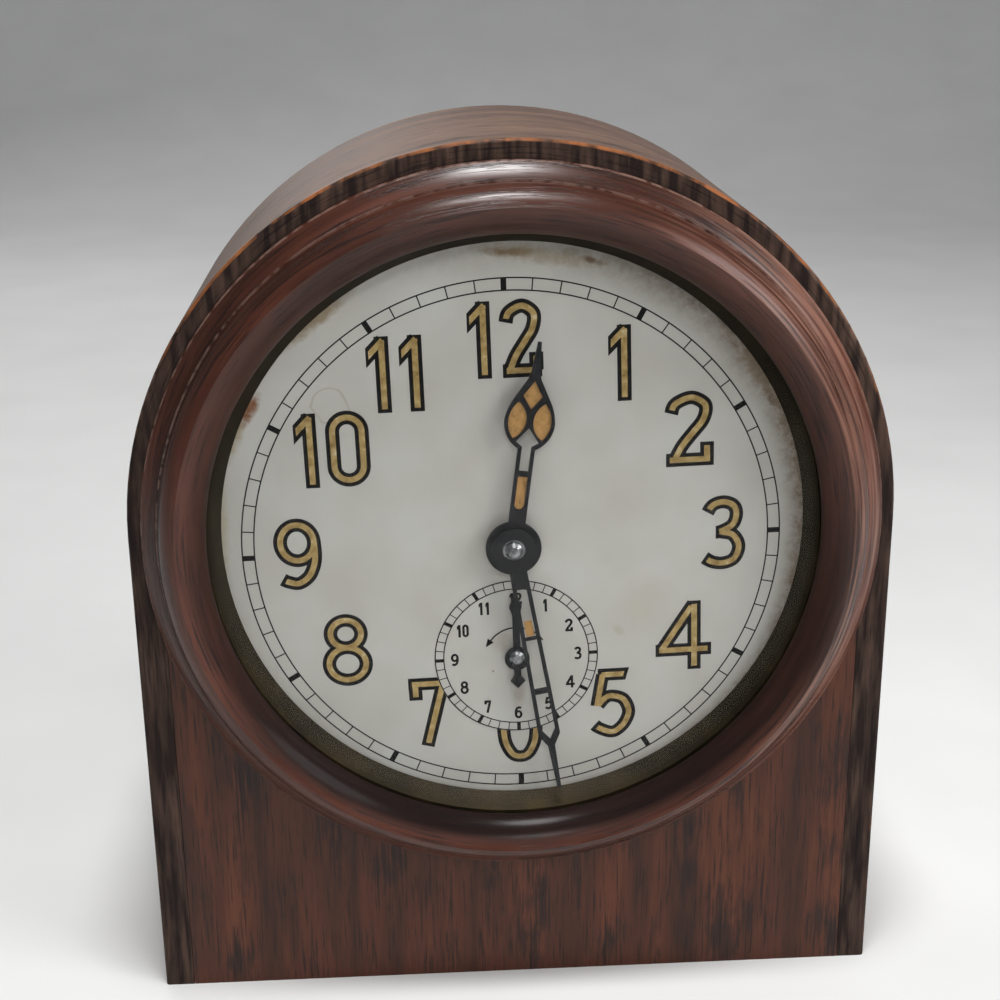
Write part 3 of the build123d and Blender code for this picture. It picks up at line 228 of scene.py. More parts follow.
def worn_metal(name, tones, roughness, patch=4.0, scratch=0.35, metallic=1.0):
    """Turned or rolled metal: the tone wanders in patches of tarnish, and fine lines of the tool catch the light."""
    finish = bpy.data.materials.new(name)
    finish.use_nodes = True
    tree = finish.node_tree
    surface = tree.nodes["Principled BSDF"]
    place = add(tree, "ShaderNodeTexCoord").outputs["Object"]
    tarnish = add(tree, "ShaderNodeTexNoise", {"Vector": place, "Scale": 1 / (patch * mm), "Detail": 5.0,
                                               "Roughness": 0.6}).outputs["Fac"]
    toned = add(tree, "ShaderNodeValToRGB", {"Fac": tarnish}, [(0.3, tones[0]), (0.5, tones[1]), (0.7, tones[2])])
    tree.links.new(toned.outputs["Color"], surface.inputs["Base Color"])
    dull = add(tree, "ShaderNodeMapRange", {"Value": tarnish, "To Min": roughness * 0.7, "To Max": roughness * 1.35})
    tree.links.new(dull.outputs["Result"], surface.inputs["Roughness"])
    fine = add(tree, "ShaderNodeTexNoise", {"Vector": place, "Scale": 1 / (scratch * mm), "Detail": 2.0}).outputs["Fac"]
    lines = add(tree, "ShaderNodeBump", {"Strength": 0.06, "Distance": 0.02 * mm, "Height": fine})
    tree.links.new(lines.outputs["Normal"], surface.inputs["Normal"])
    surface.inputs["Metallic"].default_value = metallic
    return finish


aged_brass = worn_metal("aged_lacquered_brass", ("#6E5624", "#8C7033", "#A88A47"), 0.38)
for name in ("case_hinge_halves", "door_hinge_halves", "door_knob"):
    smooth_copy(name, aged_brass)

# Movement frame: two plates stamped from sheet brass, held apart by four turned pillars with steel nuts,
# and screwed to the back of the front board through its lugs.
rolled_brass = worn_metal("rolled_clock_brass", ("#8A6A2C", "#B08D45", "#C9A75C"), 0.3, patch=9.0)
bright_steel = worn_metal("turned_steel", ("#6F7072", "#8E9092", "#A9ABAD"), 0.28, patch=2.5)
for name in ("front_plate", "back_plate", "pillars"):
    smooth_copy(name, rolled_brass)
for name in ("pillar_nuts", "movement_screws", "click_studs"):
    smooth_copy(name, bright_steel)

# Going train: brass wheels cut and crossed out by hand tools, riveted to steel arbors with leaf pinions.
# The barrel holds a coiled steel mainspring, and its ratchet is held by a click on a stud.
spring_steel = worn_metal("blued_spring_steel", ("#2B3242", "#3C465A", "#566176"), 0.3, patch=3.0)
for name in ("centre_wheel", "third_wheel", "fourth_wheel", "escape_wheel", "time_barrel"):
    smooth_copy(name, rolled_brass)
for name in ("centre_arbor", "third_arbor", "fourth_arbor", "escape_arbor", "time_winding_arbor", "time_click",
             "pallet_lever"):
    smooth_copy(name, bright_steel)
smooth_copy("time_mainspring", spring_steel)

# Balance: a brass rim on a steel staff, with a blued hairspring pinned to a stud and a regulator over it.
smooth_copy("balance_wheel", rolled_brass)
for name in ("balance_staff", "balance_screws", "regulator"):
    smooth_copy(name, bright_steel)
smooth_copy("hairspring", spring_steel)

# Alarm train: a second barrel drives an escape wheel that rocks the hammer inside the bell.
# The bell is a nickelled steel cup on a shouldered post riveted to the back plate.
nickel = worn_metal("nickelled_steel", ("#8F8B82", "#B3AFA6", "#CBC8C0"), 0.22, patch=6.0)
for name in ("alarm_barrel", "alarm_escape_wheel", "alarm_wheel"):
    smooth_copy(name, rolled_brass)
for name in ("alarm_winding_arbor", "alarm_click", "alarm_escape_arbor", "alarm_set_arbor", "hammer", "hammer_verge",
             "bell_post"):
    smooth_copy(name, bright_steel)
smooth_copy("alarm_mainspring", spring_steel)
smooth_copy("bell", nickel)

# Keys and knobs: flat-winged winding keys and knurled setting knobs of brass, reached through the open door.
for name in ("time_key", "alarm_key", "set_knob", "alarm_knob"):
    smooth_copy(name, aged_brass)

# Motion work: the cannon pinion, minute wheel and hour wheel between the front plate and the dial.
for name in ("minute_wheel", "hour_wheel"):
    smooth_copy(name, rolled_brass)
for name in ("cannon_pinion", "set_arbor"):
    smooth_copy(name, bright_steel)

# Dial plate: a brass disc sprayed with silver-white lacquer. Damp has stained it brown at the rim, rust has
# spread from under the bezel, and oil has crept out round the hands. Painted shade of the bezel's shadow also
# darkens the rim, most at the lower right.
dial_x, dial_z, dial_front = -0.4 * mm, 98.1 * mm, -29.9 * mm
dial_turn = math.radians(1.52)
dial_place = (Matrix.Translation((dial_x, dial_front, dial_z)) @ Matrix.Rotation(math.radians(90), 4, "X")
              @ Matrix.Rotation(dial_turn, 4, "Z") @ Matrix.Scale(mm, 4))
dial_lacquer = bpy.data.materials.new("silvered_dial_lacquer")
dial_lacquer.use_nodes = True
tree = dial_lacquer.node_tree
surface = tree.nodes["Principled BSDF"]
place = add(tree, "ShaderNodeTexCoord").outputs["Object"]
cloud = add(tree, "ShaderNodeTexNoise", {"Vector": place, "Scale": 1 / (14 * mm), "Detail": 6.0}).outputs["Fac"]
colour = add(tree, "ShaderNodeValToRGB", {"Fac": cloud},
             [(0.3, "#B1AEA7"), (0.55, "#B8B6B0"), (0.75, "#BDBCB8")]).outputs["Color"]
speck = add(tree, "ShaderNodeTexNoise", {"Vector": place, "Scale": 1 / (1.7 * mm), "Detail": 7.0,
                                         "Roughness": 0.7}).outputs["Fac"]
# Stains in the dial's own axes, in mm: x, z, reach along the rim, reach across it, strength and colour
stains = [(-50, 30, 7, 2.4, 1.0, "#74451F"), (-54, 24, 10, 3.4, 0.7, "#8F7A52"), (-36.5, 47, 17, 3.0, 0.8, "#86724F"),
          (1, 58.6, 9, 1.7, 1.0, "#6A4B2C"), (8, 57.6, 22, 3.2, 0.5, "#94805E"), (17, 56.2, 4.5, 1.2, 1.0, "#66482C"),
          (51.6, 27.6, 4.2, 1.6, 1.0, "#553A22"), (49, 33, 10, 2.6, 0.55, "#8A7350"),
          (-57.5, 4, 22, 2.6, 0.5, "#A7976F"),
          (0, 0, 12, 12, 0.3, "#A1968A"), (0, -32, 2.6, 8, 0.5, "#94877A"), (-3, -21, 4.5, 4.5, 0.45, "#978A7C"),
          (-5, -27.5, 0.55, 0.55, 1.0, "#6E5A42"), (26, -14, 12, 9, 0.16, "#A99670"),
          (21, -20, 1.6, 3.0, 0.3, "#9A8A66")]
for x, z, along, across, strength, code in stains:
    spot = dial_place @ Vector((x, z, 0))
    laid = add(tree, "ShaderNodeMapping", {"Vector": place, "Location": spot, "Scale": (along * mm, mm, across * mm),
                                           "Rotation": (0, -math.atan2(z, x) - math.radians(90), 0)},
               vector_type="TEXTURE").outputs["Vector"]
    away = add(tree, "ShaderNodeVectorMath", {0: laid}, operation="LENGTH").outputs["Value"]
    near = add(tree, "ShaderNodeMapRange", {"Value": away, "From Min": 1.0, "From Max": 0.0},
               interpolation_type="SMOOTHSTEP").outputs["Result"]
    mottled = add(tree, "ShaderNodeMath", {0: near, 1: speck}, operation="MULTIPLY").outputs["Value"]
    amount = add(tree, "ShaderNodeMapRange", {"Value": mottled, "From Min": 0.12, "From Max": 0.44,
                                              "To Max": strength}).outputs["Result"]
    colour = add(tree, "ShaderNodeMix", {"Factor": amount, "A": colour, "B": linear(code)},
                 data_type="RGBA").outputs["Result"]
# Grime that has crept in from under the bezel, with painted shade of the bezel's shadow, deepest at the lower right
spoke = add(tree, "ShaderNodeVectorMath", {0: place, 1: dial_place.translation}, operation="SUBTRACT").outputs["Vector"]
out = add(tree, "ShaderNodeVectorMath", {0: spoke}, operation="LENGTH").outputs["Value"]
lean = add(tree, "ShaderNodeVectorMath", {0: spoke, 1: (0.8, 0, -0.5)}, operation="DOT_PRODUCT").outputs["Value"]
side = add(tree, "ShaderNodeMapRange", {"Value": lean, "From Min": -55 * mm, "From Max": 55 * mm,
                                        "To Min": 0.1, "To Max": 2.7}).outputs["Result"]
rim = add(tree, "ShaderNodeMapRange", {"Value": out, "From Min": 53.0 * mm, "From Max": 60.5 * mm},
          interpolation_type="SMOOTHSTEP").outputs["Result"]
# Painted shade: this rim mask, weighted to the lower right, stands for the bezel's shadow as well as for grime
rim_grime_and_shade = add(tree, "ShaderNodeMath", {0: rim, 1: side}, operation="MULTIPLY").outputs["Value"]
ragged = add(tree, "ShaderNodeMath", {0: rim_grime_and_shade, 1: speck}, operation="MULTIPLY", use_clamp=True).outputs["Value"]
colour = add(tree, "ShaderNodeMix", {"Factor": ragged, "A": colour, "B": linear("#6C5D4C")},
             data_type="RGBA").outputs["Result"]
# The tide mark of a dried drop near the 10
centre = dial_place @ Vector((-34.5, 30.4, 0))
bent = add(tree, "ShaderNodeTexNoise", {"Vector": place, "Scale": 1 / (4 * mm)}).outputs["Fac"]
away = add(tree, "ShaderNodeVectorMath", {0: place, 1: centre}, operation="DISTANCE").outputs["Value"]
wavy = add(tree, "ShaderNodeMath", {0: bent, 1: 2.6 * mm, 2: away}, operation="MULTIPLY_ADD").outputs["Value"]
off = add(tree, "ShaderNodeMath", {0: wavy, 1: 4.7 * mm, 2: 0.22 * mm}, operation="COMPARE").outputs["Value"]
tide = add(tree, "ShaderNodeMath", {0: off, 1: 0.3}, operation="MULTIPLY").outputs["Value"]
colour = add(tree, "ShaderNodeMix", {"Factor": tide, "A": colour, "B": linear("#8F7F62")},
             data_type="RGBA").outputs["Result"]
tree.links.new(colour, surface.inputs["Base Color"])
dull = add(tree, "ShaderNodeMapRange", {"Value": cloud, "To Min": 0.45, "To Max": 0.62}).outputs["Result"]
tree.links.new(dull, surface.inputs["Roughness"])
peel = add(tree, "ShaderNodeBump", {"Strength": 0.08, "Distance": 0.05 * mm, "Height": speck}).outputs["Normal"]
tree.links.new(peel, surface.inputs["Normal"])
surface.inputs["Metallic"].default_value = 0.1
frame["nodes"]["dial_plate"].material_slots[0].material = dial_lacquer

# Minute track: printed in black ink on the dial as two fine circles with a line at each minute,
# and a broad bar at each five minutes. The alarm dial has the same track, smaller.
ink = bpy.data.materials.new("black_printing_ink")
ink.use_nodes = True
tree = ink.node_tree
surface = tree.nodes["Principled BSDF"]
place = add(tree, "ShaderNodeTexCoord").outputs["Object"]
thin = add(tree, "ShaderNodeTexNoise", {"Vector": place, "Scale": 1 / (0.8 * mm), "Detail": 3.0}).outputs["Fac"]
worn = add(tree, "ShaderNodeValToRGB", {"Fac": thin}, [(0.3, "#0A0808"), (0.64, "#100E0D"), (0.9, "#302C29")])
tree.links.new(worn.outputs["Color"], surface.inputs["Base Color"])
surface.inputs["Roughness"].default_value = 0.8
surface.inputs["Specular IOR Level"].default_value = 0.2


def printed(name, mesh, finish, body="case", at=dial_place):
    """Puts a flat mesh drawn in the dial's own axes (mm) on the dial."""
    mesh.transform(at)
    mesh.materials.clear()
    mesh.materials.append(finish)
    piece = bpy.data.objects.new(name, mesh)
    bpy.context.scene.collection.objects.link(piece)
    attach(piece, body)
    return piece


tracks = bpy.data.node_groups.new("ring_of_marks", "GeometryNodeTree")
tracks.is_modifier = True
track_inputs = {}
for label, kind in (("Marks", "NodeSocketInt"), ("Middle radius", "NodeSocketFloat"),
                    ("Mark length", "NodeSocketFloat"), ("Mark width", "NodeSocketFloat"),
                    ("Height", "NodeSocketFloat"), ("Ink", "NodeSocketMaterial")):
    track_inputs[label] = tracks.interface.new_socket(label, in_out="INPUT", socket_type=kind).identifier
tracks.interface.new_socket("Geometry", in_out="OUTPUT", socket_type="NodeSocketGeometry")
given = add(tracks, "NodeGroupInput").outputs
ring = add(tracks, "GeometryNodeMeshCircle", {"Vertices": given["Marks"], "Radius": given["Middle radius"]})
mark = add(tracks, "GeometryNodeMeshGrid", {"Size X": given["Mark length"], "Size Y": given["Mark width"],
                                            "Vertices X": 2, "Vertices Y": 2})
count = add(tracks, "ShaderNodeMath", {0: math.tau, 1: given["Marks"]}, operation="DIVIDE").outputs["Value"]
index = add(tracks, "GeometryNodeInputIndex").outputs["Index"]
angle = add(tracks, "ShaderNodeMath", {0: index, 1: count}, operation="MULTIPLY").outputs["Value"]
turn = add(tracks, "ShaderNodeCombineXYZ", {"Z": angle}).outputs["Vector"]
spread = add(tracks, "GeometryNodeInstanceOnPoints", {"Points": ring.outputs["Mesh"], "Instance": mark.outputs["Mesh"],
                                                      "Rotation": turn})
solid = add(tracks, "GeometryNodeRealizeInstances", {"Geometry": spread.outputs["Instances"]})
lift = add(tracks, "ShaderNodeCombineXYZ", {"Z": given["Height"]}).outputs["Vector"]
raised = add(tracks, "GeometryNodeTransform", {"Geometry": solid.outputs["Geometry"], "Translation": lift})
inked = add(tracks, "GeometryNodeSetMaterial", {"Geometry": raised.outputs["Geometry"], "Material": given["Ink"]})
add(tracks, "NodeGroupOutput", {"Geometry": inked.outputs["Geometry"]})


def ring_of_marks(name, at=dial_place, **sizes):
    """One ring of printed marks, made by the node tree and turned to a plain mesh."""
    maker = bpy.data.objects.new(name, bpy.data.meshes.new(name))
    bpy.context.scene.collection.objects.link(maker)
    modifier = maker.modifiers.new("marks", "NODES")
    modifier.node_group = tracks
    for label, value in sizes.items():
        modifier[track_inputs[label.replace("_", " ")]] = value
    modifier[track_inputs["Ink"]] = ink
    made = bpy.data.meshes.new_from_object(maker.evaluated_get(bpy.context.evaluated_depsgraph_get()))
    bpy.data.objects.remove(maker)
    return printed(name, made, ink, at=at)


def flat_ring(inner, outer, height, steps=240):
    """A flat printed ring, in the dial's own axes."""
    mesh = bpy.data.meshes.new("flat_ring")
    turns = [math.tau * k / steps for k in range(steps)]
    rims = [(r * math.cos(a), r * math.sin(a), height) for r in (inner, outer) for a in turns]
    faces = [(k, k + steps, (k + 1) % steps + steps, (k + 1) % steps) for k in range(steps)]
    mesh.from_pydata(rims, [], faces)
    return mesh


print_lift = 0.02
track_radius = 52.5
ring_of_marks("minute_lines", Marks=60, Middle_radius=track_radius, Mark_length=2.4, Mark_width=0.25,
              Height=print_lift)
ring_of_marks("five_minute_bars", Marks=12, Middle_radius=track_radius, Mark_length=2.55, Mark_width=1.1,
              Height=2 * print_lift)
for name, middle in (("track_inner_circle", 51.3), ("track_outer_circle", 53.7)):
    printed(name, flat_ring(middle - 0.14, middle + 0.14, print_lift), ink)

# Hour numerals: drawn with black ink in square-ended block figures, then filled with a gilt line along the
# middle of each stroke. The gilt has dulled and picked up pale spots.
gilt = bpy.data.materials.new("dulled_gilt_paint")
gilt.use_nodes = True
tree = gilt.node_tree
surface = tree.nodes["Principled BSDF"]
place = add(tree, "ShaderNodeTexCoord").outputs["Object"]
flake = add(tree, "ShaderNodeTexNoise", {"Vector": place, "Scale": 1 / (1.6 * mm), "Detail": 5.0,
                                         "Roughness": 0.65}).outputs["Fac"]
toned = add(tree, "ShaderNodeValToRGB", {"Fac": flake},
            [(0.3, "#7A6234"), (0.48, "#9E8450"), (0.6, "#B09764"), (0.72, "#CDC1A4")])
tree.links.new(toned.outputs["Color"], surface.inputs["Base Color"])
surface.inputs["Roughness"].default_value = 0.42
surface.inputs["Metallic"].default_value = 0.35


def bow(points, steps=7):
    """A smooth line through points."""
    ends = [points[0], *points, points[-1]]
    line = []
    for k in range(len(points) - 1):
        a, b, c, d = [Vector(p) for p in ends[k:k + 4]]
        for step in range(steps):
            t = step / steps
            line.append(0.5 * (2 * b + (c - a) * t + (2 * a - 5 * b + 4 * c - d) * t ** 2
                               + (3 * b - a - 3 * c + d) * t ** 3))
    return line + [Vector(points[-1])]


def oval(x, y, across, up, straight=0.0, steps=48):
    """A closed line round an ellipse, or round two half ellipses joined by straight sides."""
    turns = [math.tau * (k + 0.5) / steps for k in range(steps)]
    line = [Vector((x + across * math.cos(a), y + up * math.sin(a) + math.copysign(straight, math.sin(a))))
            for a in turns]
    return line + line[:1]


# Strokes of each figure, in mm from its middle: centre lines, which of their ends are free (0 is the first, 1 the
# last), and the slant of a last end that isn't cut square
upright = Vector((0, 1))
figures = {
    "0": [(oval(0, 0.05, 2.86, 2.86, 3.5), (), None)],
    "1": [(bow([(0, 7.55), (0, -7.6)], 1), (0, 1), None), (bow([(0.3, 6.8), (-3.1, 3.4)], 1), (1,), upright)],
    "2": [(bow([(-3.7, 3.25), (-2.9, 5.2), (0.15, 6.4), (2.6, 5.3), (3.15, 3.85), (2.5, 1.65), (0.8, -0.5),
                (-1.25, -3.0), (-2.3, -4.75), (-3.05, -6.3)]), (0,), None),
          (bow([(-4.75, -6.27), (4.75, -6.27)], 1), (0, 1), None), (bow([(3.4, -6.3), (3.4, -2.75)], 1), (1,), None)],
    "3": [(bow([(-3.25, 4.4), (-2.2, 5.9), (-0.1, 6.5), (1.9, 5.7), (2.56, 3.85), (1.8, 1.6), (-0.4, 0.35),
                (-1.6, 0.1)]), (0, 1), upright),
          (bow([(-0.4, 0.1), (1.9, -0.6), (3.1, -3.0), (2.2, -5.6), (0.06, -6.5), (-2.2, -6.2), (-3.85, -5.2)]), (1,),
           None)],
    "4": [(bow([(2.06, 7.6), (2.06, -7.6)], 1), (0, 1), None), (bow([(-5.9, -3.1), (5.6, -3.1)], 1), (0, 1), None),
          (bow([(-4.66, -2.97), (1.9, 7.0)], 1), (1,), None)],
    "5": [(bow([(-3.0, 6.45), (3.1, 6.45)], 1), (0, 1), Vector((0.3, 1))),
          (bow([(-2.0, 6.5), (-3.3, -0.6)], 1), (), None),
          (bow([(-3.0, -0.4), (-1.55, 1.2), (0, 1.6), (2.2, 0.7), (3.3, -1.95), (2.5, -4.45), (0.95, -6.15),
                (-0.6, -6.6), (-2.8, -5.7), (-3.85, -4.85)]), (1,), None)],
    "7": [(bow([(-4.0, 6.5), (4.3, 6.5)], 1), (0, 1), None), (bow([(-2.56, 6.6), (-2.56, 2.9)], 1), (1,), None),
          (bow([(3.1, 6.4), (-0.66, -7.6)], 1), (1,), None)],
    "8": [(oval(0.03, 3.6, 3.08, 2.97), (), None), (oval(0.03, -3.0, 3.73, 3.53), (), None)],
    "9": [(oval(-0.05, 2.5, 3.33, 3.75), (), None),
          (bow([(3.28, 2.5), (3.34, -0.4), (2.9, -2.6), (1.8, -4.75), (-0.25, -6.1), (-2.3, -5.7), (-3.4, -5.1)]), (1,),
           None)],
}
figures["6"] = [([-p for p in line], free, None) for line, free, _ in figures["9"]]
half_six = [(bow([(-3.25, 3.5), (-3.3, 0.4), (-2.9, -2.6), (-1.6, -5.1), (0.05, -5.75), (1.7, -5.1), (3.0, -2.6),
                  (3.4, 0.4), (3.35, 3.5)]), (), None)]


def shortened(line, cut):
    """The line with a length cut off its start."""
    line = list(line)
    while len(line) > 2 and (line[1] - line[0]).length <= cut:
        cut -= (line[1] - line[0]).length
        line.pop(0)
    return [line[0] + (line[1] - line[0]).normalized() * cut, *line[1:]]


def ribbon(drawing, line, width, height, slant=None):
    """A flat painted stroke along a line, cut square at its ends, or along slant at the last one."""
    closed = (line[0] - line[-1]).length < 0.01
    points = line[:-1] if closed else line
    rows = []
    for k, p in enumerate(points):
        before = points[k - 1] if k or closed else p
        after = points[(k + 1) % len(points)] if k < len(points) - 1 or closed else p
        along = (after - before).normalized()
        side = Vector((-along.y, along.x))
        reach = side * (width / 2)
        if slant and k == len(points) - 1:
            edge = slant.normalized()
            reach = edge * (width / 2) / abs(edge.dot(side)) * math.copysign(1, edge.dot(side))
        rows.append([drawing.verts.new((*(p + s * reach), height)) for s in (-1, 1)])
    for k in range(len(rows) - (0 if closed else 1)):
        a, b = rows[k], rows[(k + 1) % len(rows)]
        drawing.faces.new((a[0], b[0], b[1], a[1]))


def numerals(name, tiles, finish, width, height, trim=0.0, size=1.0, at=dial_place):
    """Figures painted at their places: each tile is x, y and the figures in it with their shifts and widths."""
    drawing = bmesh.new()
    layer = 0
    for x, y, signs in tiles:
        for sign, shift, squeeze in signs:
            for line, free, slant in (half_six if sign == "half six" else figures[sign]):
                line = [Vector((x + size * (shift + squeeze * p.x), y + size * p.y)) for p in line]
                if 0 in free:
                    line = shortened(line, trim)
                if 1 in free:
                    line = shortened(line[::-1], trim)[::-1]
                ribbon(drawing, line, width, height + 0.002 * (layer % 4), slant)
                layer += 1
    bmesh.ops.recalc_face_normals(drawing, faces=drawing.faces)
    for face in drawing.faces:
        if face.normal.z < 0:
            face.normal_flip()
    mesh = bpy.data.meshes.new(name)
    drawing.to_mesh(mesh)
    drawing.free()
    return printed(name, mesh, finish, at=at)


hours = [(0, 41.8, [("1", -4.19, 1), ("2", 3.1, 0.8)]), (22, 36, [("1", 0.83, 1)]), (35.6, 22, [("2", 0, 1)]),
         (42.4, 0, [("3", 0, 1)]), (34.4, -22, [("4", 0, 1)]), (19.5, -36.2, [("5", 0, 1)]),
         (0, -41.5, [("half six", 0, 1)]), (-18.5, -36, [("7", 0, 1)]), (-34.5, -21, [("8", 0, 1)]),
         (-42.7, 0.2, [("9", 0, 1)]), (-34.4, 21.5, [("1", -4.3, 1), ("0", 2.98, 1)]),
         (-21.5, 36, [("1", -2.28, 1), ("1", 4.06, 1)])]
numerals("hour_numerals_black", hours, ink, 2.75, print_lift)
numerals("hour_numerals_gilt", hours, gilt, 1.15, 2 * print_lift, trim=0.75)

# Alarm dial: a small twelve-hour dial printed over the 6 and the 7, which stop at its edge, with its own
# track and figures, and an arrow for the way its hand is turned.
alarm_track_radius = 15.72
alarm_figure_radius = 12.6
arrow_radius = 6.4
alarm_place = dial_place @ Matrix.Translation((-0.1, -24.5, 3 * print_lift))
printed("alarm_dial_ground", flat_ring(11.0, 16.75, 0.0, 120), dial_lacquer, at=alarm_place)
ring_of_marks("alarm_lines", alarm_place, Marks=48, Middle_radius=alarm_track_radius, Mark_length=1.75,
              Mark_width=0.19, Height=print_lift)
ring_of_marks("alarm_bars", alarm_place, Marks=12, Middle_radius=alarm_track_radius, Mark_length=1.85,
              Mark_width=0.75, Height=2 * print_lift)
for name, middle in (("alarm_inner_circle", 14.85), ("alarm_outer_circle", 16.6)):
    printed(name, flat_ring(middle - 0.12, middle + 0.12, print_lift, 160), ink, at=alarm_place)
small = []
for hour in range(1, 13):
    bearing = math.radians(90 - 30 * hour)
    if hour < 10:
        signs = [(str(hour), 0, 0.9)]
    else:
        signs = [("1", -2.6, 0.9), (str(hour - 10), 4.6 if hour == 11 else 4.2, 0.8)]
    small.append((alarm_figure_radius * math.cos(bearing), alarm_figure_radius * math.sin(bearing), signs))
numerals("alarm_figures", small, ink, 0.5, print_lift, size=0.181, at=alarm_place)
arrow = bmesh.new()
sweep = [math.radians(turn) for turn in range(31, 146, 4)]
ribbon(arrow, [Vector((arrow_radius * math.cos(a), arrow_radius * math.sin(a))) for a in sweep], 0.3, print_lift)
tip = sweep[-1]
head = [(arrow_radius + 0.75, 0), (arrow_radius - 0.75, 0), (arrow_radius, 1.8)]
corners = []
for out, run in head:
    at = Vector((out * math.cos(tip), out * math.sin(tip))) + run * Vector((-math.sin(tip), math.cos(tip)))
    corners.append(arrow.verts.new((at.x, at.y, print_lift)))
arrow.faces.new(corners)
mesh = bpy.data.meshes.new("alarm_arrow")
arrow.to_mesh(mesh)
arrow.free()
printed("alarm_arrow", mesh, ink, at=alarm_place)

# Hands: stamped from sheet steel, pierced and blackened, pushed on the hour pipe, the cannon and the alarm
# arbor. Their windows are filled with luminous paint that has gone orange and cracked.
black_steel = worn_metal("blackened_steel", ("#121214", "#1B1B1E", "#2A2A2D"), 0.42, patch=1.5, metallic=0.55)
for name in ("hour_hand", "minute_hand", "alarm_hand"):
    smooth_copy(name, black_steel)
smooth_copy("hand_nut", bright_steel)
luminous = bpy.data.materials.new("aged_luminous_paint")
luminous.use_nodes = True
tree = luminous.node_tree
surface = tree.nodes["Principled BSDF"]
place = add(tree, "ShaderNodeTexCoord").outputs["Object"]
crust = add(tree, "ShaderNodeTexNoise", {"Vector": place, "Scale": 1 / (1.4 * mm), "Detail": 6.0,
                                         "Roughness": 0.7}).outputs["Fac"]
toned = add(tree, "ShaderNodeValToRGB", {"Fac": crust}, [(0.32, "#5E4A26"), (0.42, "#9A7440"), (0.66, "#B58850")])
tree.links.new(toned.outputs["Color"], surface.inputs["Base Color"])
surface.inputs["Roughness"].default_value = 0.7
grains = add(tree, "ShaderNodeBump", {"Strength": 0.4, "Distance": 0.1 * mm, "Height": crust}).outputs["Normal"]
tree.links.new(grains, surface.inputs["Normal"])


def arc(start, through, end, steps=12):
    """Points on the circle through three points, from the first to the last."""
    (ax, ay), (bx, by), (cx, cy) = start, through, end
    d = 2 * (ax * (by - cy) + bx * (cy - ay) + cx * (ay - by))
    ux = ((ax * ax + ay * ay) * (by - cy) + (bx * bx + by * by) * (cy - ay) + (cx * cx + cy * cy) * (ay - by)) / d
    uy = ((ax * ax + ay * ay) * (cx - bx) + (bx * bx + by * by) * (ax - cx) + (cx * cx + cy * cy) * (bx - ax)) / d
    a, b, c = [math.atan2(y - uy, x - ux) for x, y in (start, through, end)]
    sweep = (c - a) % math.tau
    if (b - a) % math.tau > sweep:
        sweep -= math.tau
    r = math.hypot(ax - ux, ay - uy)
    return [(ux + r * math.cos(a + sweep * k / steps), uy + r * math.sin(a + sweep * k / steps))
            for k in range(steps + 1)]


def luminous_fill(name, outlines, body, bearing, y):
    """Paint held in a hand's windows: flat fills in the plane y, drawn along the hand and turned to its bearing."""
    fill = bmesh.new()
    for outline in outlines:
        fill.faces.new([fill.verts.new((u, v, 0)) for u, v in outline])
    mesh = bpy.data.meshes.new(name)
    fill.to_mesh(mesh)
    fill.free()
    at = (Matrix.Translation((dial_x, y, dial_z)) @ Matrix.Rotation(math.radians(90), 4, "X")
          @ Matrix.Rotation(-math.radians(bearing), 4, "Z") @ Matrix.Scale(mm, 4))
    return printed(name, mesh, luminous, body, at)


hour_bearing, hour_paint_front = 7.3, -32.25 * mm
minute_bearing, minute_paint_front = 170.25, -33.55 * mm
lobe = arc((2.87, 22.51), (4.21, 26.29), (2.62, 30.03))[:-1] + arc((2.62, 30.03), (0.67, 26.1), (2.87, 22.51))[:-1]
slot = [(0.95, 15.04)] + [(-u, v) for u, v in reversed(arc((0.95, 9.11), (0, 8.16), (-0.95, 9.11)))] + [(-0.95, 15.04)]
diamond = [(0, 28.6), (1.9, 31.29), (0, 34.36), (-1.9, 31.29)]
luminous_fill("hour_hand_paint", [lobe, [(-u, v) for u, v in reversed(lobe)], diamond, slot], "hour", hour_bearing,
              hour_paint_front)
pane = [(-0.8, 15.4), (0.8, 15.4), (0.8, 18.8), (-0.8, 18.8)]
luminous_fill("minute_hand_paint", [pane], "minute", minute_bearing, minute_paint_front)

# Sight ring: a cone of spun brass between the glass and the dial, gone olive with tarnish.
olive_brass = worn_metal("tarnished_sight_brass", ("#1B1509", "#271F10", "#352B18"), 0.6, patch=7.0, metallic=0.8)
smooth_copy("sight_ring", olive_brass)

# Bezel: a hoop of bent oak, turned on a faceplate to a bead, a sunk quirk and a bold roll down to the glass.
# Its grain follows the ring. Pale lines on its edges are worn polish drawn brighter as painted highlights, its right
# side is lightened with painted light, and grime with painted shade darkens the hollow, deepest at the bottom.
bezel_z = 100.9 * mm
hoop_radius = 66 * mm
bezel_back = -32.0


def round_bezel(tree, place):
    """How far a place is from the middle of the bezel, its angle from the top, and its depth."""
    axes = add(tree, "ShaderNodeSeparateXYZ", {"Vector": place}).outputs
    up = add(tree, "ShaderNodeMath", {0: axes["Z"], 1: bezel_z}, operation="SUBTRACT").outputs["Value"]
    flat = add(tree, "ShaderNodeCombineXYZ", {"X": axes["X"], "Z": up}).outputs["Vector"]
    out = add(tree, "ShaderNodeVectorMath", {0: flat}, operation="LENGTH").outputs["Value"]
    return out, add(tree, "ShaderNodeMath", {0: axes["X"], 1: up}, operation="ARCTAN2").outputs["Value"], axes["Y"]


def ring_grain(tree, place):
    """The grain runs round the hoop, whose joint is at the bottom."""
    out, turn, deep = round_bezel(tree, place)
    run = add(tree, "ShaderNodeMath", {0: turn, 1: hoop_radius}, operation="MULTIPLY").outputs["Value"]
    return add(tree, "ShaderNodeCombineXYZ", {"X": out, "Y": deep, "Z": run}).outputs["Vector"]


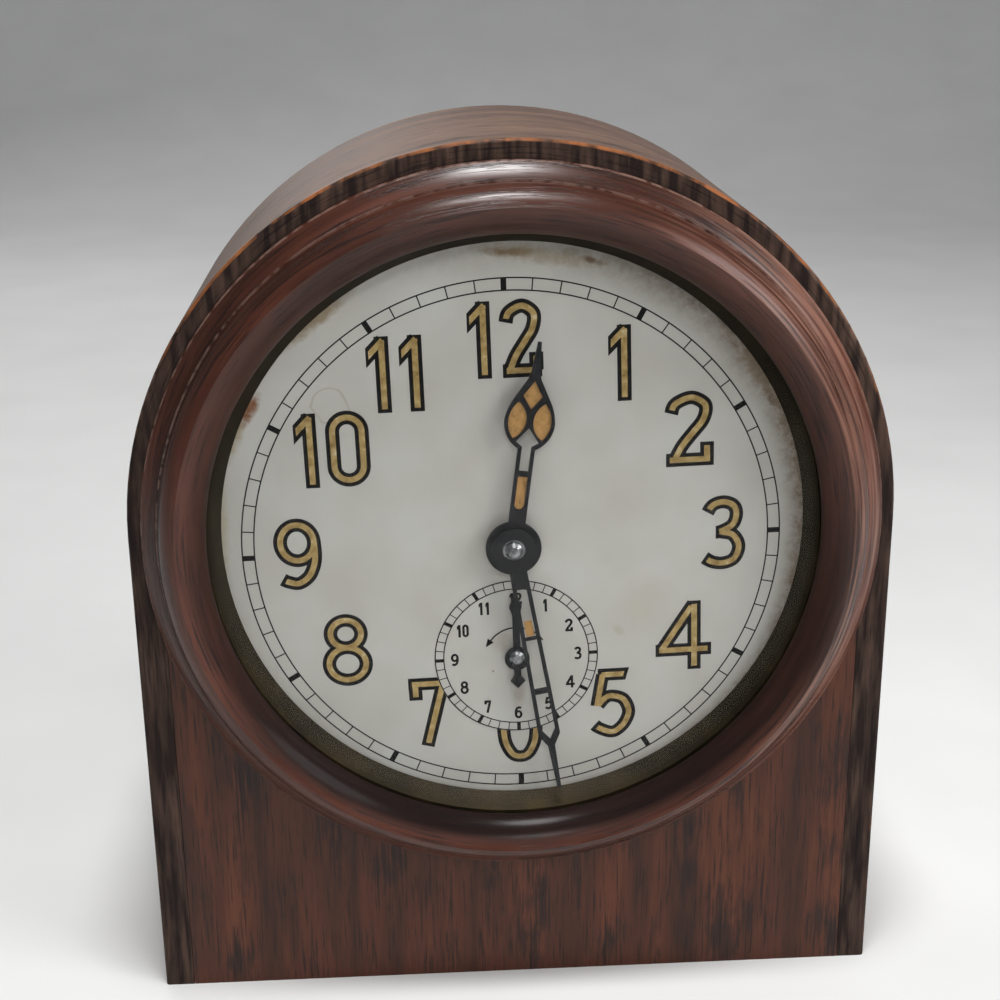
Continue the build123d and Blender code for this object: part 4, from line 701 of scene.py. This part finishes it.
def turned_wear(tree, place, colour):
    """Pale lines along the turned edges, where polish has worn off, drawn brighter as painted highlights; painted light
    down the right side, in streaks along the grain; and grime with painted shade in the hollow, deepest at the bottom."""
    out, turn, _ = round_bezel(tree, place)
    # Painted shade and grime darken the hollow towards the glass, most at the bottom
    hollow = add(tree, "ShaderNodeMapRange", {"Value": out, "From Min": 65.4 * mm, "From Max": 62.4 * mm},
                 interpolation_type="SMOOTHSTEP").outputs["Result"]
    low = add(tree, "ShaderNodeMath", {0: turn}, operation="COSINE").outputs["Value"]
    darker_to_bottom = add(tree, "ShaderNodeMapRange", {"Value": low, "From Min": 0.2, "From Max": -0.8, "To Min": 0.35,
                                               "To Max": 0.92}).outputs["Result"]
    hollow_grime_and_shade = add(tree, "ShaderNodeMath", {0: hollow, 1: darker_to_bottom}, operation="MULTIPLY").outputs["Value"]
    colour = add(tree, "ShaderNodeMix", {"Factor": hollow_grime_and_shade, "A": colour, "B": linear("#120B0A")},
                 data_type="RGBA").outputs["Result"]
    chips = add(tree, "ShaderNodeTexNoise", {"Vector": place, "Scale": 1 / (2.2 * mm), "Detail": 4.0}).outputs["Fac"]
    ragged = add(tree, "ShaderNodeMapRange", {"Value": chips, "From Min": 0.38, "From Max": 0.56,
                                              "To Max": 0.75}).outputs["Result"]
    # Pale lines on the bead's edge and at the quirk: worn polish, with painted highlights of these crisp edges
    for radius, half in ((73.15, 0.16), (69.8, 0.2)):
        line = add(tree, "ShaderNodeMath", {0: out, 1: radius * mm, 2: half * mm}, operation="COMPARE").outputs["Value"]
        worn = add(tree, "ShaderNodeMath", {0: line, 1: ragged}, operation="MULTIPLY").outputs["Value"]
        colour = add(tree, "ShaderNodeMix", {"Factor": worn, "A": colour, "B": linear("#7A5F55")},
                     data_type="RGBA").outputs["Result"]
    lines = add(tree, "ShaderNodeMapping", {"Vector": ring_grain(tree, place),
                                            "Scale": (1 / (0.8 * mm), 1 / (0.8 * mm), 1 / (24 * mm))}).outputs["Vector"]
    streak = add(tree, "ShaderNodeTexNoise", {"Vector": lines, "Scale": 1.0, "Detail": 3.0}).outputs["Fac"]
    rubbed = add(tree, "ShaderNodeMapRange", {"Value": streak, "From Min": 0.42, "From Max": 0.66,
                                              "To Max": 0.8}).outputs["Result"]
    # Painted light: the right side of the outer roll is lightened, in streaks along the grain
    lit_right_side = add(tree, "ShaderNodeMath", {0: turn}, operation="SINE").outputs["Value"]
    for value, start, end in ((lit_right_side, 0.2, 0.85), (out, 64.6 * mm, 66.6 * mm)):
        reach = add(tree, "ShaderNodeMapRange", {"Value": value, "From Min": start, "From Max": end},
                    interpolation_type="SMOOTHSTEP").outputs["Result"]
        rubbed = add(tree, "ShaderNodeMath", {0: rubbed, 1: reach}, operation="MULTIPLY").outputs["Value"]
    colour = add(tree, "ShaderNodeMix", {"Factor": rubbed, "A": colour, "B": linear("#8C6455")},
                 data_type="RGBA").outputs["Result"]
    return colour, hollow_grime_and_shade


def turned(name, section, finish, nodes, middle, steps=256, closed=True, corner=32):
    """A ring or dish turned from its section of (radius, y) in mm about the middle (x, z), facing the front."""
    mesh = bpy.data.meshes.new(name)
    count = len(section)
    points = [(middle[0] + r * mm * math.cos(a), y * mm, middle[1] + r * mm * math.sin(a))
              for a in [math.tau * k / steps for k in range(steps)] for r, y in section]
    faces = []
    for k in range(steps):
        for n in range(count if closed else count - 1):
            a, b = k * count, (k + 1) % steps * count
            faces.append((a + n, a + (n + 1) % count, b + (n + 1) % count, b + n))
    mesh.from_pydata(points, [], faces)
    shape = bmesh.new()
    shape.from_mesh(mesh)
    bmesh.ops.remove_doubles(shape, verts=shape.verts, dist=0.0005 * mm)
    bmesh.ops.recalc_face_normals(shape, faces=shape.faces)
    shape.to_mesh(mesh)
    shape.free()
    mesh.shade_smooth()
    mesh.set_sharp_from_angle(angle=math.radians(corner))
    mesh.materials.append(finish)
    piece = bpy.data.objects.new(name, mesh)
    bpy.context.scene.collection.objects.link(piece)
    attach(piece, "case")
    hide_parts(*nodes)
    return piece


turned_oak = stained_oak("stained_oak_turned", ("#301911", "#4A281D", "#61372A"), ring_grain, turned_wear, (0.24, 0.36),
                         0.86, 1.37)
roll = arc((69.5, 2.9), (68.6, 7.4), (65.8, 9.6)) + arc((65.8, 9.6), (62.3, 7.6), (60.3, 4.6))[1:]
heights = [(62.3, 0.0), (73.3, 0.0), (73.3, 0.75), (73.15, 1.02), (70.4, 3.33), (70.1, 3.5), (69.62, 3.5), (69.5, 3.38),
           *roll, (60.3, 3.7), (62.3, 3.7)]
turned("bezel_turned", [(r, bezel_back - h) for r, h in heights], turned_oak, ["bezel_ring"], (0, bezel_z))

# Glass: a shallow dome blown and cut round, bedded in the back of the bezel.
clear_glass = bpy.data.materials.new("old_clock_glass")
clear_glass.use_nodes = True
tree = clear_glass.node_tree
surface = tree.nodes["Principled BSDF"]
place = add(tree, "ShaderNodeTexCoord").outputs["Object"]
wave = add(tree, "ShaderNodeTexNoise", {"Vector": place, "Scale": 1 / (30 * mm), "Detail": 1.0}).outputs["Fac"]
ripple = add(tree, "ShaderNodeBump", {"Strength": 0.05, "Distance": 0.2 * mm, "Height": wave}).outputs["Normal"]
tree.links.new(ripple, surface.inputs["Normal"])
surface.inputs["Base Color"].default_value = linear("#FBFCFB")
surface.inputs["Roughness"].default_value = 0.02
surface.inputs["IOR"].default_value = 1.15
surface.inputs["Transmission Weight"].default_value = 1.0
rays = add(tree, "ShaderNodeLightPath").outputs
through = add(tree, "ShaderNodeMath", {0: rays["Is Shadow Ray"], 1: rays["Is Diffuse Ray"]}, operation="MAXIMUM")
clear = add(tree, "ShaderNodeBsdfTransparent")
mixed = add(tree, "ShaderNodeMixShader", {"Fac": through.outputs["Value"], 1: surface.outputs["BSDF"],
                                          2: clear.outputs["BSDF"]})
tree.links.new(mixed.outputs["Shader"], tree.nodes["Material Output"].inputs["Surface"])
glass_radius, glass_rim, glass_rise, glass_thickness, dome_steps = 62.2, -35.2, 6.0, 1.2, 24
dome = [(glass_radius * k / dome_steps, glass_rim - glass_rise * (1 - (k / dome_steps) ** 2))
        for k in range(dome_steps + 1)]
turned("glass_dome", dome + [(r, y + glass_thickness) for r, y in reversed(dome)], clear_glass, ["glass"],
       (0, bezel_z), steps=128, closed=False, corner=60)

# Studio: pale paper laid flat and swept up behind in one curve, with soft lamps in front on the right, above the
# camera, overhead and behind, and a dim grey room round them.
pale = bpy.data.materials.new("pale_paper")
pale.use_nodes = True
tree = pale.node_tree
place = add(tree, "ShaderNodeTexCoord").outputs["Object"]
tooth = add(tree, "ShaderNodeTexNoise", {"Vector": place, "Scale": 1 / (60 * mm), "Detail": 2.0}).outputs["Fac"]
toned = add(tree, "ShaderNodeValToRGB", {"Fac": tooth}, [(0.3, "#E2E2E1"), (0.7, "#E7E7E6")])
tree.links.new(toned.outputs["Color"], tree.nodes["Principled BSDF"].inputs["Base Color"])
tree.nodes["Principled BSDF"].inputs["Roughness"].default_value = 0.9
paper_reach, bend_start, bend, paper_top = 2.5, 0.9, 0.7, 2.2
rise = [math.radians(90 * k / 24) for k in range(25)]
sweep = [(-paper_reach, 0.0)]
sweep += [(bend_start + bend * math.sin(a), bend - bend * math.cos(a)) for a in rise]
sweep += [(bend_start + bend, paper_top)]
mesh = bpy.data.meshes.new("paper_sweep")
mesh.from_pydata([(x, y, z) for y, z in sweep for x in (-paper_reach, paper_reach)], [],
                 [(2 * k, 2 * k + 1, 2 * k + 3, 2 * k + 2) for k in range(len(sweep) - 1)])
mesh.shade_smooth()
mesh.materials.append(pale)
paper = bpy.data.objects.new("paper_sweep", mesh)
bpy.context.scene.collection.objects.link(paper)

# Each lamp's place and size in metres, and its power in watts
lamps = [("soft_key", (0.62, -0.42, 0.48), 0.42, 3.0), ("soft_front", (0.0, -0.6, 0.52), 0.13, 0.95),
         ("soft_top", (0.0, -0.16, 0.85), 0.2, 4.9), ("soft_back", (-0.35, 0.8, 0.65), 0.6, 2.0)]
for name, place, size, power in lamps:
    light = bpy.data.lights.new(name, "AREA")
    light.shape = "DISK"
    light.size = size
    light.energy = power
    lamp = bpy.data.objects.new(name, light)
    lamp.location = place
    lamp.rotation_euler = (Vector((0, 0, 0.1)) - lamp.location).to_track_quat("-Z", "Y").to_euler()
    bpy.context.scene.collection.objects.link(lamp)

room = bpy.data.worlds.new("dim_room")
room.use_nodes = True
room.node_tree.nodes["Background"].inputs["Color"].default_value = linear("#F4F6F8")
room.node_tree.nodes["Background"].inputs["Strength"].default_value = 0.18
bpy.context.scene.world = room
bpy.context.scene.view_settings.view_transform = "Standard"
